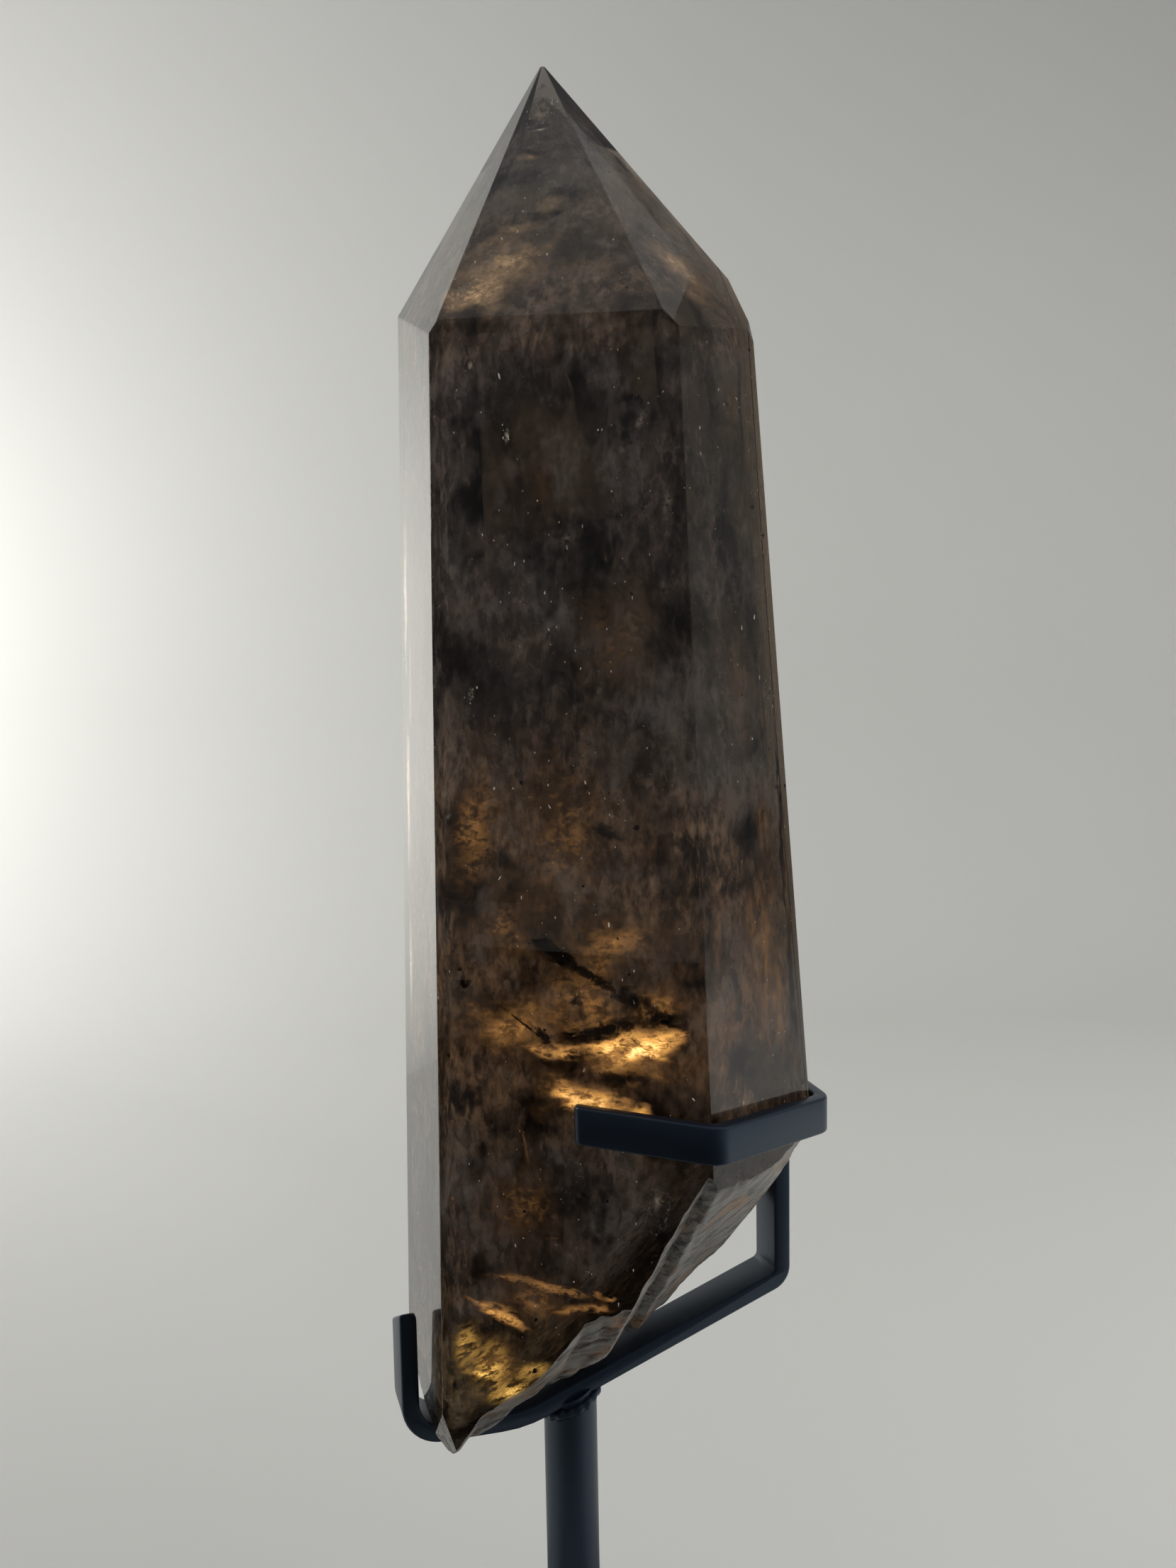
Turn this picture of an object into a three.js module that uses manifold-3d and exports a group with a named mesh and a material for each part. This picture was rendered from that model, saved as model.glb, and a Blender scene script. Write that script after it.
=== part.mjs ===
// Smoky quartz tower resting in a black steel sling stand. Millimetres, +Z up.
// The origin is the middle of the base plate's underside, on the post's axis.
// X runs to the right in the front view and Y runs away from the viewer.
import * as THREE from "three";
import { mergeVertices } from "three/addons/utils/BufferGeometryUtils.js";
import Module from "manifold-3d";

const wasm = await Module();
wasm.setup();

const DEG = Math.PI / 180;

// Air left between pieces that touch or are welded in the real thing.
const GAP = 0.35;

// Stand: a square plate, a round post and a flat bar bent into a sling.
const PLATE = { side: 102, thick: 10, corner: 6, chamfer: 1 };
const POST = { radius: 4.75, beadWidth: 1.3, beadHeight: 2.2, sides: 40, top: 96 };
// The bar gets a little thinner towards the prong.
const BAR = { width: 7.9, prongThick: 2.9, riserThick: 3.3 };
// The sling stands across the crystal, its left end nearer the viewer.
const SLING_TURN = 19 * DEG;
const PRONG = { x: -29.3, top: 110.2, straight: 16.7, nose: 1.1, bevel: 30 };
const HOOK = { radius: 5.9, turn: 86 * DEG };
const RUN = { flat: 10.5, radius: 20, slope: 18.2 * DEG, length: 46.95 };
const RISER = { radius: 2.8, height: 41.3 };

// Clasp: a thinner bar bent round three faces of the crystal and welded to the riser.
const BAND = { thick: 2.2, height: 5.9, gap: 0.5, radius: 3.2, frontArm: 21.6, backArm: 34.5, corner: 0.7 };
// The band climbs to the left as it goes round: its height where it turns the front corner, and its fall.
const BAND_MIDDLE = 146.2;
const BAND_FALL = { x: -0.095, y: -0.03 };

// Crystal: six tapering side faces and six point faces. A turn is the heading of a face's outward normal,
// 0 towards the viewer and 90 to the right. A reach is the face's distance from the crystal's middle.
const MIDDLE = new THREE.Vector3(3, -4, 200);
const SIDE_FACES = {
  front: { turn: -12.84, taper: 1.63, reach: 20.54 },
  right: { turn: 44.07, taper: 2.53, reach: 30.76 },
  backRight: { turn: 105.21, taper: 4.04, reach: 29.64 },
  back: { turn: 171, taper: 1.6, reach: 30.2 },
  backLeft: { turn: -132.77, taper: 0.66, reach: 30 },
  left: { turn: -71.65, taper: 1.19, reach: 25.49 },
};
const APEX = new THREE.Vector3(-0.4, 9.6, 319.5);
const POINT_FACES = {
  front: { turn: -11.58, rise: 58.5 },
  right: { turn: 38.01, rise: 52.86 },
  backRight: { turn: 100, rise: 58 },
  back: { turn: 172, rise: 54 },
  backLeft: { turn: -122, rise: 63.8 },
  left: { turn: -60.07, rise: 61.06 },
};

// Small chips: flat cuts at a corner, and one shell-shaped scar on the front face.
const CHIPS = [
  { name: "foot", at: [-17.7, -23.5, 92.8], turn: -54.7, taper: -13.1 },
  { name: "shoulder", at: [31.4, -14.6, 267.8], turn: 63.2, taper: 16.6 },
  { name: "tip", at: [-0.4, 9.6, 318.9], turn: 20, taper: 78 },
];
const SCAR = { at: [14.6, -30.1, 135.4], radii: [2.1, 0.55, 4.4], lean: 12 * DEG };

// Broken base, in the sling's own frame: u runs along the bar, v runs away from the viewer.
// The break plunges from its front rim, where it leaves the polished faces, down to a keel on the bar.
const BREAK = {
  size: 100,
  cells: 54,
  backRise: 0.3,
  soften: 0.5,
  relief: 1.1,
  foot: 60,
};
// Height of the plunging face over the bar's middle line, and its steepness, for each u.
const PLUNGE_LINE = [
  [-44, 72], [-24.4, 73.6], [-20.8, 76.7], [-14.5, 77.8], [-10.5, 79.6], [-5.8, 83.5], [0.5, 81.9],
  [4.4, 88.2], [9.2, 95], [10.8, 96.7], [12.3, 94.6], [21.1, 102.2], [26.1, 104.9], [34, 112.6],
  [44, 122],
];
const PLUNGE_SLOPE = [[-44, 1.2], [12, 1.2], [21, 1.1], [44, 1.1]];
// Height of the keel over the bar's middle line, and how steeply it rises towards the viewer, for each u.
const KEEL_LINE = [
  [-44, 100], [-28, 92], [-24, 90], [-13, 88.9], [-5.9, 89.9], [15, 96.6], [17.7, 99.2],
  [25.6, 106.7], [31.5, 110.9], [36.4, 115.4], [44, 122.5],
];
const KEEL_FRONT_RISE = [
  [-44, 0], [-24, 0], [-20.7, 0.12], [-16.7, 0.35], [-13, 0.55], [-8, 0.66], [44, 0.66],
];

const steel = { color: 0x1b1d20, roughness: 0.42, metalness: 0.35 };

/** Outward normal of a face from its heading and its lean back from the vertical, in degrees. */
function faceNormal(turn, lean) {
  const heading = turn * DEG;
  const tilt = lean * DEG;
  return new THREE.Vector3(
    Math.sin(heading) * Math.cos(tilt),
    -Math.cos(heading) * Math.cos(tilt),
    Math.sin(tilt),
  );
}

/** Closed geometry to a solid for joining and cutting. */
function toSolid(geometry) {
  const bare = geometry.clone();
  bare.deleteAttribute("normal");
  bare.deleteAttribute("uv");
  const merged = mergeVertices(bare, 1e-4);
  return new wasm.Manifold(new wasm.Mesh({
    numProp: 3,
    vertProperties: Float32Array.from(merged.attributes.position.array),
    triVerts: Uint32Array.from(merged.index.array),
  }));
}

/** Solid back to a geometry. */
function toGeometry(solid) {
  const mesh = solid.getMesh();
  const geometry = new THREE.BufferGeometry();
  geometry.setAttribute("position", new THREE.BufferAttribute(new Float32Array(mesh.vertProperties), 3));
  geometry.setIndex(new THREE.BufferAttribute(new Uint32Array(mesh.triVerts), 1));
  geometry.computeVertexNormals();
  return geometry;
}

/** Named mesh with a material of its own. */
function piece(name, geometry, look) {
  const mesh = new THREE.Mesh(geometry, new THREE.MeshStandardMaterial(look));
  mesh.name = name;
  return mesh;
}

/** Height on a line of [u, height] points. */
function heightOn(line, u) {
  const last = line.length - 1;
  const i = Math.min(Math.max(line.findIndex(([end]) => end > u), 1), last);
  const [u0, z0] = line[i - 1];
  const [u1, z1] = line[i];
  return THREE.MathUtils.mapLinear(THREE.MathUtils.clamp(u, u0, u1), u0, u1, z0, z1);
}

/** Middle line of a bent bar: straight runs and arcs, each point with its heading. */
function bentLine(start, heading, steps) {
  const points = [{ at: start.clone(), heading }];
  let at = start.clone();
  for (const { run = 0, turn = 0, radius = 0 } of steps) {
    if (run > 0) {
      at = at.clone().add(new THREE.Vector2(Math.cos(heading), Math.sin(heading)).multiplyScalar(run));
      points.push({ at, heading });
      continue;
    }
    const side = Math.sign(turn);
    const centre = at.clone().add(
      new THREE.Vector2(-Math.sin(heading), Math.cos(heading)).multiplyScalar(side * radius),
    );
    const parts = Math.max(2, Math.ceil(Math.abs(turn) / (9 * DEG)));
    const from = heading;
    for (let k = 1; k <= parts; k += 1) {
      heading = from + (turn * k) / parts;
      at = centre.clone().add(
        new THREE.Vector2(Math.sin(heading), -Math.cos(heading)).multiplyScalar(side * radius),
      );
      points.push({ at, heading });
    }
  }
  return points;
}

/** Points beside a middle line, to its left when the distance is positive. */
function beside(line, distance) {
  return line.map(({ at, heading }, i) => {
    const off = typeof distance === "function" ? distance(i) : distance;
    return new THREE.Vector2(at.x - Math.sin(heading) * off, at.y + Math.cos(heading) * off);
  });
}

const slingLine = bentLine(new THREE.Vector2(PRONG.x, PRONG.top), -90 * DEG, [
  { run: PRONG.straight },
  { turn: HOOK.turn, radius: HOOK.radius },
  { run: RUN.flat },
  { turn: 90 * DEG - HOOK.turn + RUN.slope, radius: RUN.radius },
  { run: RUN.length },
  { turn: 90 * DEG - RUN.slope, radius: RISER.radius },
  { run: RISER.height },
]);

/** Half of the bar's thickness at each point of its middle line. */
function slingHalf() {
  const ends = slingLine.map((_, i) => (i === 0 ? 0 : slingLine[i].at.distanceTo(slingLine[i - 1].at)));
  const total = ends.reduce((sum, length) => sum + length, 0);
  let gone = 0;
  return ends.map((length) => {
    gone += length;
    return THREE.MathUtils.lerp(BAR.prongThick, BAR.riserThick, gone / total) / 2;
  });
}

const half = slingHalf();
const slingUpper = beside(slingLine, (i) => half[i]);
const slingLower = beside(slingLine, (i) => -half[i]);

// Bar's upper side between the prong and the riser, as a line of heights.
const slingTop = slingUpper.filter(({ y }, i) => i > 0 && y < 106).map(({ x, y }) => [x, y]);

/** Sling: prong, hook, sloping run and riser, all one bent bar. */
function makeCradleBar() {
  const [nose, ...upper] = slingUpper;
  const outline = [
    new THREE.Vector2(nose.x - PRONG.nose, nose.y),
    new THREE.Vector2(nose.x, nose.y - PRONG.nose),
    ...upper,
    ...slingLower.toReversed(),
  ];
  const bar = new THREE.ExtrudeGeometry(new THREE.Shape(outline), {
    depth: BAR.width,
    bevelEnabled: false,
  });
  bar.rotateX(90 * DEG);
  bar.translate(0, BAR.width / 2, 0);
  const frontCorner = new THREE.Vector3(nose.x, -BAR.width / 2, PRONG.top);
  const bevelled = toSolid(bar).subtract(toSolid(wedgeAbove(frontCorner, PRONG.bevel * DEG)));
  return piece("cradle_bar", toGeometry(bevelled), steel);
}

/** Small block over a point, its underside falling away from the viewer at an angle. */
function wedgeAbove(point, angle) {
  const size = 4 * BAR.width;
  const wedge = new THREE.BoxGeometry(BAR.width, 2 * size, size);
  wedge.translate(0, 0, size / 2);
  wedge.rotateX(-angle);
  wedge.translate(point.x, point.y, point.z);
  return wedge;
}

/** Round post with its weld beads, its top coped to the underside of the sloping bar. */
function makePost() {
  const { radius, beadWidth, beadHeight, sides, top } = POST;
  const bottom = PLATE.thick + GAP;
  const weld = heightOn(slingTop, 0) - BAR.prongThick;
  const shaft = new THREE.LatheGeometry([
    new THREE.Vector2(0, bottom),
    new THREE.Vector2(radius + beadWidth, bottom),
    new THREE.Vector2(radius + beadWidth * 0.45, bottom + beadHeight * 0.4),
    new THREE.Vector2(radius, bottom + beadHeight),
    new THREE.Vector2(radius, weld - 2 * beadHeight),
    new THREE.Vector2(radius + beadWidth * 0.45, weld - beadHeight),
    new THREE.Vector2(radius + beadWidth * 0.7, weld),
    new THREE.Vector2(radius + beadWidth * 0.7, top),
    new THREE.Vector2(0, top),
  ], sides);
  shaft.rotateX(90 * DEG);

  const reach = 4 * radius;
  const underside = beside(slingLine, (i) => -half[i] - GAP).filter(({ y }) => y < 103);
  const above = new THREE.Shape([
    ...underside,
    new THREE.Vector2(underside.at(-1).x, top + reach),
    new THREE.Vector2(underside[0].x, top + reach),
  ]);
  const cope = new THREE.ExtrudeGeometry(above, { depth: 2 * reach, bevelEnabled: false });
  cope.rotateX(90 * DEG);
  cope.translate(0, reach, 0);
  return piece("post", toGeometry(toSolid(shaft).subtract(toSolid(cope))), steel);
}

/** Plain square plate with round corners and chamfered edges. */
function makeBasePlate() {
  const { side, thick, corner, chamfer } = PLATE;
  const inner = side / 2 - chamfer - corner;
  const outline = new THREE.Shape();
  outline.absarc(inner, inner, corner, 0, 90 * DEG);
  outline.absarc(-inner, inner, corner, 90 * DEG, 180 * DEG);
  outline.absarc(-inner, -inner, corner, 180 * DEG, 270 * DEG);
  outline.absarc(inner, -inner, corner, 270 * DEG, 360 * DEG);
  const geometry = new THREE.ExtrudeGeometry(outline, {
    depth: thick - 2 * chamfer,
    bevelThickness: chamfer,
    bevelSize: chamfer,
    bevelSegments: 1,
    curveSegments: 8,
  });
  geometry.translate(0, 0, chamfer);
  return piece("base_plate", geometry, steel);
}

/** Corner where two side faces meet at a height, both moved outwards by the same distance. */
function sideCorner(a, b, height, outwards) {
  const lines = [SIDE_FACES[a], SIDE_FACES[b]].map(({ turn, taper, reach }) => {
    const normal = faceNormal(turn, taper);
    const flat = Math.hypot(normal.x, normal.y);
    const offset = normal.dot(MIDDLE) + reach - normal.z * height;
    return { x: normal.x / flat, y: normal.y / flat, offset: offset / flat + outwards };
  });
  const [p, q] = lines;
  const cross = p.x * q.y - p.y * q.x;
  return new THREE.Vector2(
    (p.offset * q.y - q.offset * p.y) / cross,
    (q.offset * p.x - p.offset * q.x) / cross,
  );
}

/** Clasp round the front, right and back-right faces, sheared so that it falls to the right. */
function makeClaspBand() {
  const foot = BAND_MIDDLE - BAND.height;
  const middle = BAND.gap + BAND.thick / 2;
  const corners = [
    sideCorner("front", "right", foot, middle),
    sideCorner("right", "backRight", foot, middle),
  ];
  const headings = ["front", "right", "backRight"].map((name) => SIDE_FACES[name].turn * DEG);
  const cut = (turn) => BAND.radius * Math.tan(turn / 2);
  const turns = [headings[1] - headings[0], headings[2] - headings[1]];
  const along = new THREE.Vector2(Math.cos(headings[0]), Math.sin(headings[0]));
  const start = corners[0].clone().addScaledVector(along, -BAND.frontArm);
  const line = bentLine(start, headings[0], [
    { run: BAND.frontArm - cut(turns[0]) },
    { turn: turns[0], radius: BAND.radius },
    { run: corners[0].distanceTo(corners[1]) - cut(turns[0]) - cut(turns[1]) },
    { turn: turns[1], radius: BAND.radius },
    { run: BAND.backArm - cut(turns[1]) },
  ]);
  const easedStart = line[0].at.clone().addScaledVector(along, BAND.corner);
  const eased = [{ at: easedStart, heading: headings[0] }, ...line.slice(1)];
  const outline = [
    ...beside(line, BAND.thick / 2),
    ...beside(eased, -BAND.thick / 2).reverse(),
    ...beside(line.slice(0, 1), BAND.corner - BAND.thick / 2),
  ];
  const geometry = new THREE.ExtrudeGeometry(new THREE.Shape(outline), {
    depth: BAND.height,
    bevelEnabled: false,
  });
  geometry.translate(0, 0, BAND_MIDDLE - BAND.height / 2);
  const shear = new THREE.Matrix4().set(
    1, 0, 0, 0,
    0, 1, 0, 0,
    BAND_FALL.x, BAND_FALL.y, 1, -BAND_FALL.x * corners[0].x - BAND_FALL.y * corners[0].y,
    0, 0, 0, 1,
  );
  geometry.applyMatrix4(shear);
  return piece("clasp_band", geometry, steel);
}

/** Big block whose one face lies on a plane, to cut everything beyond that plane away. */
function beyond(point, normal) {
  const size = 400;
  const block = new THREE.BoxGeometry(size, size, size);
  block.translate(0, 0, size / 2);
  block.applyQuaternion(new THREE.Quaternion().setFromUnitVectors(new THREE.Vector3(0, 0, 1), normal));
  block.translate(point.x, point.y, point.z);
  return toSolid(block);
}

/** Repeatable value between 0 and 1 for a lattice point. */
function lattice(i, j) {
  const value = Math.sin(i * 127.1 + j * 311.7) * 43758.5453;
  return value - Math.floor(value);
}

/** Smooth bumps between 0 and 1, one for each unit square. */
function bumps(x, y) {
  const i = Math.floor(x);
  const j = Math.floor(y);
  const a = THREE.MathUtils.smoothstep(x - i, 0, 1);
  const b = THREE.MathUtils.smoothstep(y - j, 0, 1);
  const low = THREE.MathUtils.lerp(lattice(i, j), lattice(i + 1, j), a);
  const high = THREE.MathUtils.lerp(lattice(i, j + 1), lattice(i + 1, j + 1), a);
  return THREE.MathUtils.lerp(low, high, b);
}

/** Relief of the break: lumps, and ribs that run up its slope. */
function breakRelief(u, v) {
  const lumps = bumps(u / 11 + 3, v / 8 + 7) - 0.5;
  const ribs = Math.abs(bumps(u / 3.2 - v / 11, v / 7 + u / 15) - 0.5) - 0.25;
  return BREAK.relief * (lumps - 1.4 * ribs);
}

/** Height of the broken base over a point of the sling's frame. */
function breakHeight(u, v) {
  const face = heightOn(PLUNGE_LINE, u) - heightOn(PLUNGE_SLOPE, u) * v;
  const rise = v < 0 ? heightOn(KEEL_FRONT_RISE, u) : BREAK.backRise;
  const keel = heightOn(KEEL_LINE, u) + rise * Math.abs(v);
  const join = Math.max(face, keel) + BREAK.soften * Math.exp(-Math.abs(face - keel) / (2 * BREAK.soften));
  const rough = join + breakRelief(u, v);
  const off = Math.max(0, Math.abs(v) - BAR.width / 2 - GAP);
  const rest = heightOn(slingTop, u) + GAP - 1.5 * off;
  return Math.max(rough, rest);
}

/** Everything under the broken base. */
function underBreak() {
  const { size, cells, foot } = BREAK;
  const block = new THREE.BoxGeometry(size, size, 1, cells, cells, 1);
  const position = block.attributes.position;
  for (let i = 0; i < position.count; i += 1) {
    const top = position.getZ(i) > 0;
    position.setZ(i, top ? breakHeight(position.getX(i), position.getY(i)) : foot - 10);
  }
  block.rotateZ(SLING_TURN);
  return toSolid(block);
}

/** The crystal: one stone with polished faces, small chips and a rough broken base. */
function makeCrystal() {
  const block = new THREE.BoxGeometry(140, 140, APEX.z - BREAK.foot);
  block.translate(MIDDLE.x, MIDDLE.y, (APEX.z + BREAK.foot) / 2);
  let stone = toSolid(block);
  for (const { turn, taper, reach } of Object.values(SIDE_FACES)) {
    const normal = faceNormal(turn, taper);
    stone = stone.subtract(beyond(MIDDLE.clone().addScaledVector(normal, reach), normal));
  }
  for (const { turn, rise } of Object.values(POINT_FACES)) {
    stone = stone.subtract(beyond(APEX, faceNormal(turn, 90 - rise)));
  }
  stone = stone.subtract(underBreak());
  for (const { at, turn, taper } of CHIPS) {
    stone = stone.subtract(beyond(new THREE.Vector3(...at), faceNormal(turn, taper)));
  }
  const scar = new THREE.SphereGeometry(1, 12, 8);
  scar.scale(...SCAR.radii);
  scar.rotateY(SCAR.lean);
  scar.rotateZ(SIDE_FACES.front.turn * DEG);
  scar.translate(...SCAR.at);
  stone = stone.subtract(toSolid(scar));
  return piece("crystal", toGeometry(stone), { color: 0x3a2a1e, roughness: 0.08, metalness: 0 });
}

const tower = new THREE.Group();
const sling = new THREE.Group();
sling.rotation.z = SLING_TURN;
sling.add(makeCradleBar(), makePost());
tower.add(makeBasePlate(), sling, makeClaspBand(), makeCrystal());

export default tower;
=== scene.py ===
"""Looks of a smoky quartz tower on its black steel sling stand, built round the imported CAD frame.

Sizes are in millimetres in the frame's own axes: +Z up, +X right in the front view, +Y away from
the viewer. A mesh is brought to metres when it becomes a piece.
"""

from __future__ import annotations

import logging
import math
import random
from bisect import bisect_right
from dataclasses import dataclass, field
from enum import Enum
from typing import Callable, Iterable, Sequence

import bmesh
import bpy
from mathutils import Matrix, Vector, noise
from mathutils.bvhtree import BVHTree

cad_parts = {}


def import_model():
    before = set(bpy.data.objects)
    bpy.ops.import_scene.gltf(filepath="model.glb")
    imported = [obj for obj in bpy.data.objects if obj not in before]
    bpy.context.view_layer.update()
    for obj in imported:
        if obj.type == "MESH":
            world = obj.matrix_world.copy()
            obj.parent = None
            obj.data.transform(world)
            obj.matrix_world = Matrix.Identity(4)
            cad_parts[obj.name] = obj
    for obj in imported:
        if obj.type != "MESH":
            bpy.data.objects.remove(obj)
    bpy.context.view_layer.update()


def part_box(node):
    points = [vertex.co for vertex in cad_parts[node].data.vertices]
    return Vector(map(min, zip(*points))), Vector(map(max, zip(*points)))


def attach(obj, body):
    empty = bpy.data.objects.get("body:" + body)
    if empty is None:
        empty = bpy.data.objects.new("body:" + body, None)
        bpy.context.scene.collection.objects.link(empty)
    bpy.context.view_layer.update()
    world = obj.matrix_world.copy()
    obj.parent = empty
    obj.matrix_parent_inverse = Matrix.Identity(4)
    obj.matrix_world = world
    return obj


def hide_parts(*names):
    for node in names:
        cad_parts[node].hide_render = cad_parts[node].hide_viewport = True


MM = 0.001
# Turn of the sling's bar against the front view, in degrees.
TURN = 19.0
BODY = "root"

log = logging.getLogger("quartz_tower")

Colour = tuple[float, float, float]
Line = Sequence[tuple[float, float]]


class Slot(Enum):
    """Names of material slots."""

    QUARTZ = "smoky_quartz"
    STEEL = "black_steel"


# Shader writing


def operator(operation: str, swapped: bool = False) -> Callable[..., Value]:
    """One of Python's operators as a Math node.

    Args:
        operation: The node's operation.
        swapped: Whether the other number comes first.

    Returns:
        The method for Value.
    """

    def apply(self: Value, *other: Value | float) -> Value:
        """Add the node."""
        terms = (*other, self) if swapped else (self, *other)
        return self.graph.maths(operation, *terms)

    return apply


class Value:
    """One output of a shader node, with Python's operators for number maths."""

    def __init__(self, graph: Graph, socket: bpy.types.NodeSocket) -> None:
        """Keep the socket and the graph that it belongs to."""
        self.graph = graph
        self.socket = socket

    __add__ = __radd__ = operator("ADD")
    __mul__ = __rmul__ = operator("MULTIPLY")
    __sub__ = operator("SUBTRACT")
    __rsub__ = operator("SUBTRACT", swapped=True)
    __truediv__ = operator("DIVIDE")
    __abs__ = operator("ABSOLUTE")

    def between(self, low: float, high: float) -> Value:
        """Smooth step: 0 up to low and 1 from high on; high may be the smaller one."""
        return self.graph.node(
            "ShaderNodeMapRange",
            {"interpolation_type": "SMOOTHSTEP"},
            {"Value": self, "From Min": low, "From Max": high},
        )


class Graph:
    """The node tree of a material or of the world, written as expressions."""

    def __init__(self, owner: bpy.types.Material | bpy.types.World) -> None:
        """Start from an empty tree."""
        self.owner = owner
        owner.use_nodes = True
        self.tree = owner.node_tree
        self.tree.nodes.clear()

    @classmethod
    def paint(cls, name: str) -> Graph:
        """Start a new material."""
        return cls(bpy.data.materials.new(name))

    @property
    def place(self) -> Value:
        """Object coordinates."""
        return self.node("ShaderNodeTexCoord", output="Object")

    @property
    def height(self) -> Value:
        """Height over the floor in metres."""
        return self.part(self.place, "Z")

    def node(
        self,
        kind: str,
        settings: dict[str, object] | None = None,
        sockets: dict[str | int, object] | None = None,
        output: str | int = 0,
    ) -> Value | None:
        """Add any node.

        Args:
            kind: The node's type.
            settings: Its properties, set first. "stops" holds a ramp's (place, colour) pairs.
            sockets: A value or a link for each of its inputs, by name or by index.
            output: The output to hand back, by name or by index.

        Returns:
            The chosen output, or None for a node that has none.
        """
        made = self.tree.nodes.new(kind)
        for key, value in (settings or {}).items():
            if key == "stops":
                self._set_stops(made.color_ramp, value)
            else:
                setattr(made, key, value)
        for key, value in (sockets or {}).items():
            if isinstance(value, Value):
                self.tree.links.new(value.socket, made.inputs[key])
            else:
                made.inputs[key].default_value = value
        return Value(self, made.outputs[output]) if made.outputs else None

    @staticmethod
    def _set_stops(ramp: bpy.types.ColorRamp, stops: Sequence[tuple[float, Colour]]) -> None:
        """Give a colour ramp its stops."""
        while len(ramp.elements) < len(stops):
            ramp.elements.new(1.0)
        for element, (place, colour) in zip(ramp.elements, stops):
            element.position = place
            element.color = (*colour, 1.0)

    def maths(self, operation: str, *terms: Value | float) -> Value:
        """One Math node."""
        return self.node("ShaderNodeMath", {"operation": operation}, dict(enumerate(terms)))

    def blend(self, factor: Value | float, first: object, second: object) -> Value:
        """Mix two colours, each a link or a plain colour."""
        pair = [c if isinstance(c, Value) else (*c, 1.0) for c in (first, second)]
        return self.node(
            "ShaderNodeMix",
            {"data_type": "RGBA"},
            {0: factor, 6: pair[0], 7: pair[1]},
            output=2,
        )

    def mixed(self, factor: Value, first: Value, second: Value) -> Value:
        """Mix two shaders."""
        return self.node("ShaderNodeMixShader", {}, {0: factor, 1: first, 2: second})

    def part(self, vector: Value, axis: str) -> Value:
        """One part of a vector."""
        return self.node("ShaderNodeSeparateXYZ", {}, {0: vector}, output=axis)

    def drawn_up(self, share: float) -> Value:
        """Object coordinates whose heights are scaled, so that a pattern gets taller below 1."""
        return self.node(
            "ShaderNodeMapping",
            {"vector_type": "POINT"},
            {"Vector": self.place, "Scale": (1.0, 1.0, share)},
        )

    def grained(self, turn: Sequence[float], lengths: Sequence[float]) -> Value:
        """Object coordinates for a pattern drawn out along turned axes.

        Args:
            turn: Turns about X, Y and Z in degrees.
            lengths: How much longer the pattern is along each turned axis.

        Returns:
            The coordinates.
        """
        angles = tuple(math.radians(t) for t in turn)
        return self.node(
            "ShaderNodeMapping",
            {"vector_type": "TEXTURE"},
            {"Vector": self.place, "Rotation": angles, "Scale": tuple(lengths)},
        )

    def clouds(
        self,
        size: float,
        detail: float = 4.0,
        rough: float = 0.55,
        twist: float = 0.0,
        at: Value | None = None,
    ) -> Value:
        """Cloud noise whose lumps are about the given size in millimetres."""
        return self.node(
            "ShaderNodeTexNoise",
            {},
            {
                "Vector": at or self.place,
                "Scale": 1 / (size * MM),
                "Detail": detail,
                "Roughness": rough,
                "Distortion": twist,
            },
        )

    def ramp(self, factor: Value, stops: Sequence[tuple[float, Colour]]) -> Value:
        """Colours along a factor."""
        return self.node("ShaderNodeValToRGB", {"stops": stops}, {0: factor})

    def stored(self, name: str) -> Value:
        """A number stored on the mesh."""
        return self.node("ShaderNodeAttribute", {"attribute_name": name}, output="Fac")

    def bump(self, height: Value, depth: float, strength: float = 1.0) -> Value:
        """Normal bent by a height; depth is in millimetres for a height of 1."""
        return self.node(
            "ShaderNodeBump",
            {},
            {"Height": height, "Distance": depth * MM, "Strength": strength},
        )

    def principled(self, **sockets: object) -> Value:
        """Principled shader; an underscore in a socket's name stands for a space."""
        return self.node(
            "ShaderNodeBsdfPrincipled",
            {},
            {key.replace("_", " "): value for key, value in sockets.items()},
        )

    def finish(self, surface: Value, volume: Value | None = None) -> bpy.types.Material:
        """Link the output and hand the material back."""
        ends = {"Surface": surface}
        if volume is not None:
            ends["Volume"] = volume
        self.node("ShaderNodeOutputMaterial", {}, ends)
        return self.owner


# Finishes


def tinted(colour: Colour, share: float) -> Colour:
    """A colour made darker or paler."""
    return tuple(c * share for c in colour)


@dataclass(frozen=True)
class PowderCoat:
    """Satin black powder coat on steel, with a faint orange peel."""

    colour: Colour = (0.0036, 0.006, 0.0125)
    sheen: Colour = (0.56, 0.77, 1.0)
    peel: float = 0.55
    grain: float = 0.16
    handled: float = 14.0
    worn: float = 1.6
    peel_depth: float = 0.03
    roughness: tuple[float, float] = (0.3, 0.46)

    def material(self) -> bpy.types.Material:
        """Build the material."""
        graph = Graph.paint("powder_coat")
        peel = graph.clouds(self.peel, 2.0, 0.5)
        grain = graph.clouds(self.grain, 1.0, 0.5)
        handled = graph.clouds(self.handled, 3.0, 0.6)
        low, high = self.roughness
        surface = graph.principled(
            Base_Color=graph.blend(handled, self.colour, tinted(self.colour, self.worn)),
            Roughness=low + (high - low) * (0.6 * handled + 0.4 * grain),
            Specular_IOR_Level=0.9,
            Specular_Tint=(*self.sheen, 1.0),
            Normal=graph.bump(0.8 * peel + 0.2 * grain, self.peel_depth, 0.7),
        )
        return graph.finish(surface)


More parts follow.
